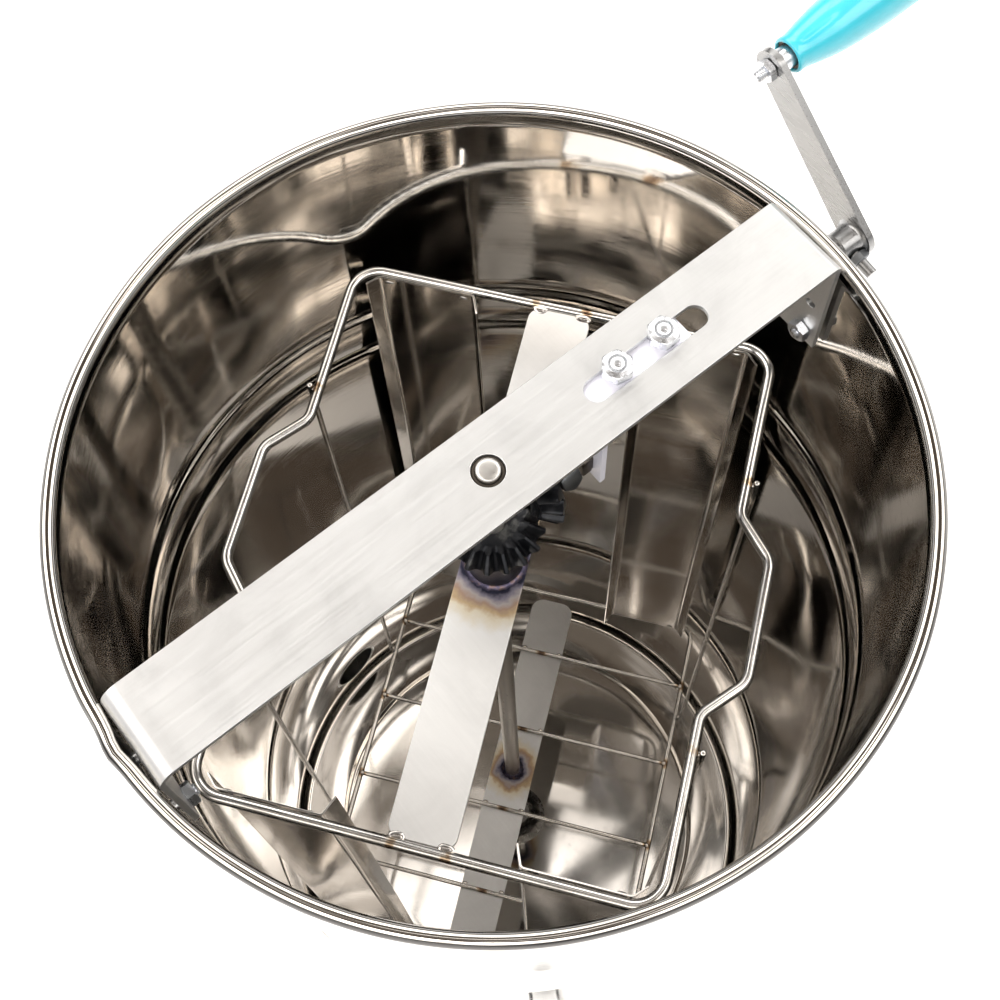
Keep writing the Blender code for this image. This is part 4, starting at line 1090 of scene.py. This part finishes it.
clamp_m = GATE @ move(CLAMP_UP, 0, 0)
shape = turned(
    [
        ("round", 4.4, 211.0), ("nut", 9.0, 215.2), ("round", 3.0, 215.2), ("thread", 3.0, 224.7), ("round", 7.2, 224.7), ("round", 7.4, 224.9), ("round", 7.0, 228.0),
        ("round", 6.2, 230.2), ("round", 5.2, 232.2), ("round", 4.6, 233.5), ("round", 3.0, 233.5), ("thread", 3.0, 235.6), ("round", 2.3, 236.0),
    ]
)
wing = smooth_profile([(3.0, 226.0), (9.0, 228.5), (15.5, 233.0), (16.7, 238.0), (13.8, 240.3), (9.5, 238.0), (6.0, 233.6), (3.0, 231.5)], 4)
wings = []
for side in (1, -1):
    rings = []
    for tt, k in ((-1.3, 0.0), (-0.9, 1.0), (0.9, 1.0), (1.3, 0.0)):
        cy = sum(p[0] for p in wing) / len(wing)
        cz = sum(p[1] for p in wing) / len(wing)
        g = 1.0 if k else 0.93
        rings.append([(tt, side * (cy + (py - cy) * g), cz + (pz - cz) * g) for py, pz in wing])
    wings.append(loft(rings))
piece("gate_clamp_look", place(shape, clamp_m), M["zinc"], "gate_clamp", "gate_clamp_screw", smooth=35, adds=[place(w, clamp_m) for w in wings])


# ---------------------------------------------------------------- legs
def leg_section(n, z, slope):
    w, d, t = 15.0, 13.0, 2.0
    pts = [(-w, 0)] + [(-w + 2.5 - 2.5 * math.cos(k * math.pi / 8), d - 2.5 + 2.5 * math.sin(k * math.pi / 8)) for k in range(5)]
    pts += [(w - 2.5 + 2.5 * math.sin(k * math.pi / 8), d - 2.5 + 2.5 * math.cos(k * math.pi / 8)) for k in range(5)]
    pts += [(w, 0), (w - t, 0), (w - t, d - t - 0.8), (w - t - 0.8, d - t), (-w + t + 0.8, d - t), (-w + t, d - t - 0.8), (-w + t, 0)]
    return [(n + y * math.cos(slope), x, z + y * math.sin(slope)) for x, y in pts]


for index, az in enumerate(LEG_AZ):
    tilt = math.atan2(LEG_SPLAY, -LEG_FOOT_Z + 14)
    rings = [leg_section(187.7, 150.0, 0.0)]
    for k in range(6):
        s = k / 5
        z = 24.0 - 20.0 * s
        rings.append(leg_section(187.7 + LEG_SPLAY * max(0.0, (14.0 - z) / (14.0 - LEG_FOOT_Z)), z, tilt * (0.1 + 0.8 * s) * (1.0 - 0.0)))
    rings.append(leg_section(187.7 + LEG_SPLAY, LEG_FOOT_Z, 0.0))
    m = Matrix.Rotation(math.radians(az), 4, "Z")
    piece(f"leg_look_{index + 1}", place(loft(rings), m), M["leg"], "drum_body", f"leg_{index + 1}", smooth=24, bevel=0.25)
    heads = []
    for z in (36.0, 128.0):
        cap = place(lathe([(0.0, 0.0), (6.6, 0.0), (6.6, 0.7), (6.2, 0.9), (4.8, 1.0), (4.8, 1.6), (4.4, 2.7), (3.2, 3.4), (1.6, 3.8), (0.0, 3.9)], 32), m @ axes((200.7, 0, z), (1, 0, 0), (0, 0, 1)))
        heads.append(cap)
    piece(f"leg_rivets_{index + 1}", merged(*heads), M["zinc"], "drum_body", None, smooth=35)
    foot = m @ move(187.7 + LEG_SPLAY + 6.5, 0, 0)
    f0 = LEG_FOOT_Z
    shape = lathe([(0.0, f0 - 13.2), (15.0, f0 - 13.2), (15.6, f0 - 14.0), (18.6, f0 - 14.0), (20.0, f0 - 13.0), (20.5, f0 - 11.6), (20.5, f0 - 9.2), (19.9, f0 - 8.8), (19.9, f0 - 7.8), (20.5, f0 - 7.4), (20.5, f0 - 2.2), (20.0, f0 - 1.0), (18.8, f0 - 0.4), (0.0, f0 - 0.4)], 56)
    piece(f"foot_look_{index + 1}", place(shape, foot), M["rubber"], "drum_body", f"foot_{index + 1}", smooth=35)

# ---------------------------------------------------------------- floor, light, camera
mesh = bpy.data.meshes.new("ground")
s = 60.0
mesh.from_pydata([(-s, -s, GROUND_M), (s, -s, GROUND_M), (s, s, GROUND_M), (-s, s, GROUND_M)], [], [(0, 1, 2, 3)])
ground = bpy.data.objects.new("ground", mesh)
bpy.context.scene.collection.objects.link(ground)
n = Nodes("mat_ground")
tone = n.ramp(n.noise(3.0, 3.0), [(0.3, (0.86, 0.86, 0.86)), (0.7, (0.89, 0.89, 0.89))])
mesh.materials.append(n.done(tone, 0.7, None, metallic=0.0))

world = bpy.data.worlds.new("studio")
bpy.context.scene.world = world
world.use_nodes = True
tree = world.node_tree
back = tree.nodes["Background"]
coord = tree.nodes.new("ShaderNodeTexCoord").outputs["Generated"]


def blend_sky(base, fac, colour):
    mix = tree.nodes.new("ShaderNodeMix")
    mix.data_type = "RGBA"
    tree.links.new(fac, mix.inputs[0])
    tree.links.new(base, mix.inputs[6])
    mix.inputs[7].default_value = (*colour, 1.0)
    return mix.outputs[2]


SKY_TOP = 5.0  # the ramp's colours are radiance divided by this


def sky_node(kind, op, a, b=None):
    node = tree.nodes.new(kind)
    node.operation = op
    for i, x in enumerate((a, b)):
        if x is None:
            continue
        if isinstance(x, (int, float)):
            node.inputs[i].default_value = x
        elif isinstance(x, tuple):
            node.inputs[i].default_value = x
        else:
            tree.links.new(x, node.inputs[i])
    return node


def sky_span(value, a, b, lo=0.0, hi=1.0):
    node = tree.nodes.new("ShaderNodeMapRange")
    node.interpolation_type = "SMOOTHSTEP"
    for key, x in zip(("From Min", "From Max", "To Min", "To Max"), (a, b, lo, hi)):
        node.inputs[key].default_value = x
    tree.links.new(value, node.inputs["Value"])
    return node.outputs["Result"]


def both(*facs):
    out = facs[0]
    for fac in facs[1:]:
        out = sky_node("ShaderNodeMath", "MULTIPLY", out, fac).outputs[0]
    return out


sep = tree.nodes.new("ShaderNodeSeparateXYZ")
tree.links.new(coord, sep.inputs[0])
el = sky_node("ShaderNodeMath", "ARCSINE", sep.outputs["Z"]).outputs[0]
el = sky_node("ShaderNodeMath", "MULTIPLY", el, 180.0 / math.pi).outputs[0]
flat = sky_node("ShaderNodeVectorMath", "MULTIPLY", coord, (1.0, 1.0, 0.0)).outputs[0]
flat = sky_node("ShaderNodeVectorMath", "NORMALIZE", flat).outputs[0]


def toward(az, inner, outer):
    """1 within inner degrees of azimuth az, at any elevation, falling to 0 at outer."""
    dot = sky_node("ShaderNodeVectorMath", "DOT_PRODUCT", flat, (math.cos(math.radians(az)), math.sin(math.radians(az)), 0.0))
    return sky_span(dot.outputs["Value"], math.cos(math.radians(outer)), math.cos(math.radians(inner)))


def between(lo, hi, soft=1.5):
    return both(sky_span(el, lo - soft, lo + soft), sky_span(el, hi - soft, hi + soft, 1.0, 0.0))


ramp = tree.nodes.new("ShaderNodeValToRGB")
BAND = (3.0, 2.93, 2.82)
stops = [
    (-90, (0.85, 0.85, 0.85)), (7, (0.85, 0.85, 0.85)), (11, (0.34, 0.33, 0.32)), (17, (0.17, 0.16, 0.15)), (26, (0.20, 0.185, 0.17)),
    (31, (2.3, 2.23, 2.13)), (35, BAND), (53, BAND), (56, (2.4, 2.3, 2.15)), (58.5, (0.40, 0.35, 0.30)), (62, (0.16, 0.135, 0.11)),
    (65, (0.10, 0.08, 0.065)), (71, (0.09, 0.072, 0.058)), (75, (0.18, 0.155, 0.13)), (90, (0.16, 0.14, 0.12)),
]
while len(ramp.color_ramp.elements) < len(stops):
    ramp.color_ramp.elements.new(0.5)
for element, (at, colour) in zip(ramp.color_ramp.elements, stops):
    element.position, element.color = (at + 90) / 180, (*(c / SKY_TOP for c in colour), 1.0)
tree.links.new(sky_node("ShaderNodeMath", "MULTIPLY", sky_node("ShaderNodeMath", "ADD", el, 90.0).outputs[0], 1 / 180.0).outputs[0], ramp.inputs["Fac"])
sky = ramp.outputs["Color"]
streaks = tree.nodes.new("ShaderNodeTexNoise")
streaks.inputs["Scale"].default_value = 6.5
streaks.inputs["Detail"].default_value = 4.0
streaks.inputs["Roughness"].default_value = 0.6
tree.links.new(flat, streaks.inputs["Vector"])
dim = sky_span(streaks.outputs["Fac"], 0.34, 0.47, 0.7, 0.0)


def light(k, warm=0.9):
    return (k / SKY_TOP, k * (1 + warm) / 2 / SKY_TOP, k * warm / SKY_TOP)


sky = blend_sky(sky, both(toward(168, 60, 76), between(48, 59.8, 1.2)), light(4.9))
sky = blend_sky(sky, both(toward(165, 36, 54), between(58.6, 61.6, 1.2)), light(2.9, 0.88))
sky = blend_sky(sky, both(toward(328, 28, 42), between(50, 59.2, 1.2)), light(3.4))
sky = blend_sky(sky, both(dim, between(24, 60)), light(0.32, 0.7))
sky = blend_sky(sky, both(toward(264, 14, 26), between(55.5, 62)), light(0.05, 0.8))
sky = blend_sky(sky, both(toward(45, 38, 54), between(56, 62)), light(0.15, 0.75))
sky = blend_sky(sky, both(toward(328, 44, 64), between(71.2, 76.6, 1.0)), light(3.0))
sky = blend_sky(sky, both(toward(235, 10, 22), between(74.5, 77.2, 1.0)), light(1.4))
sky = blend_sky(sky, both(toward(20, 30, 52), between(76.8, 80.4, 1.0)), light(0.9, 0.85))
sky = blend_sky(sky, both(toward(60, 24, 42), between(80, 84, 1.0)), light(1.9))
sky = blend_sky(sky, both(toward(100, 14, 28), between(71, 76)), light(1.8))
sky = blend_sky(sky, both(toward(140, 20, 36), between(76.5, 80, 1.0)), light(0.45, 0.85))
tree.links.new(sky, back.inputs["Color"])
back.inputs["Strength"].default_value = SKY_TOP


def area(name, at, look, size, power, glossy):
    data = bpy.data.lights.new(name, "AREA")
    data.shape, data.size, data.energy = "DISK", size, power
    obj = bpy.data.objects.new(name, data)
    obj.location = at
    obj.rotation_euler = (Vector(look) - Vector(at)).to_track_quat("-Z", "Y").to_euler()
    bpy.context.scene.collection.objects.link(obj)
    obj.visible_glossy = glossy
    return obj


area("key", (1.2, 1.9, 3.4), (0, 0, 0.3), 3.0, 135.0, False)
area("fill", (-2.4, -0.6, 2.6), (0, 0, 0.2), 3.0, 75.0, False)

cam = bpy.data.cameras.new("camera")
cam.sensor_fit, cam.sensor_width, cam.lens = "HORIZONTAL", 36.0, 56.93
cam.shift_x, cam.shift_y = 0.03146, -0.08598
cam.clip_start, cam.clip_end = 0.02, 200.0
cam_obj = bpy.data.objects.new("camera", cam)
r, u, f = (0.78633232, -0.61631376, -0.04288167), (0.57500116, 0.70470290, 0.41565309), (0.22595388, 0.35149847, -0.90851179)
loc = (-0.142226, -0.210725, 1.389396)
cam_obj.matrix_world = Matrix(((r[0], u[0], -f[0], loc[0]), (r[1], u[1], -f[1], loc[1]), (r[2], u[2], -f[2], loc[2]), (0, 0, 0, 1)))
bpy.context.scene.collection.objects.link(cam_obj)
bpy.context.scene.camera = cam_obj
bpy.context.scene.view_settings.view_transform = "Standard"
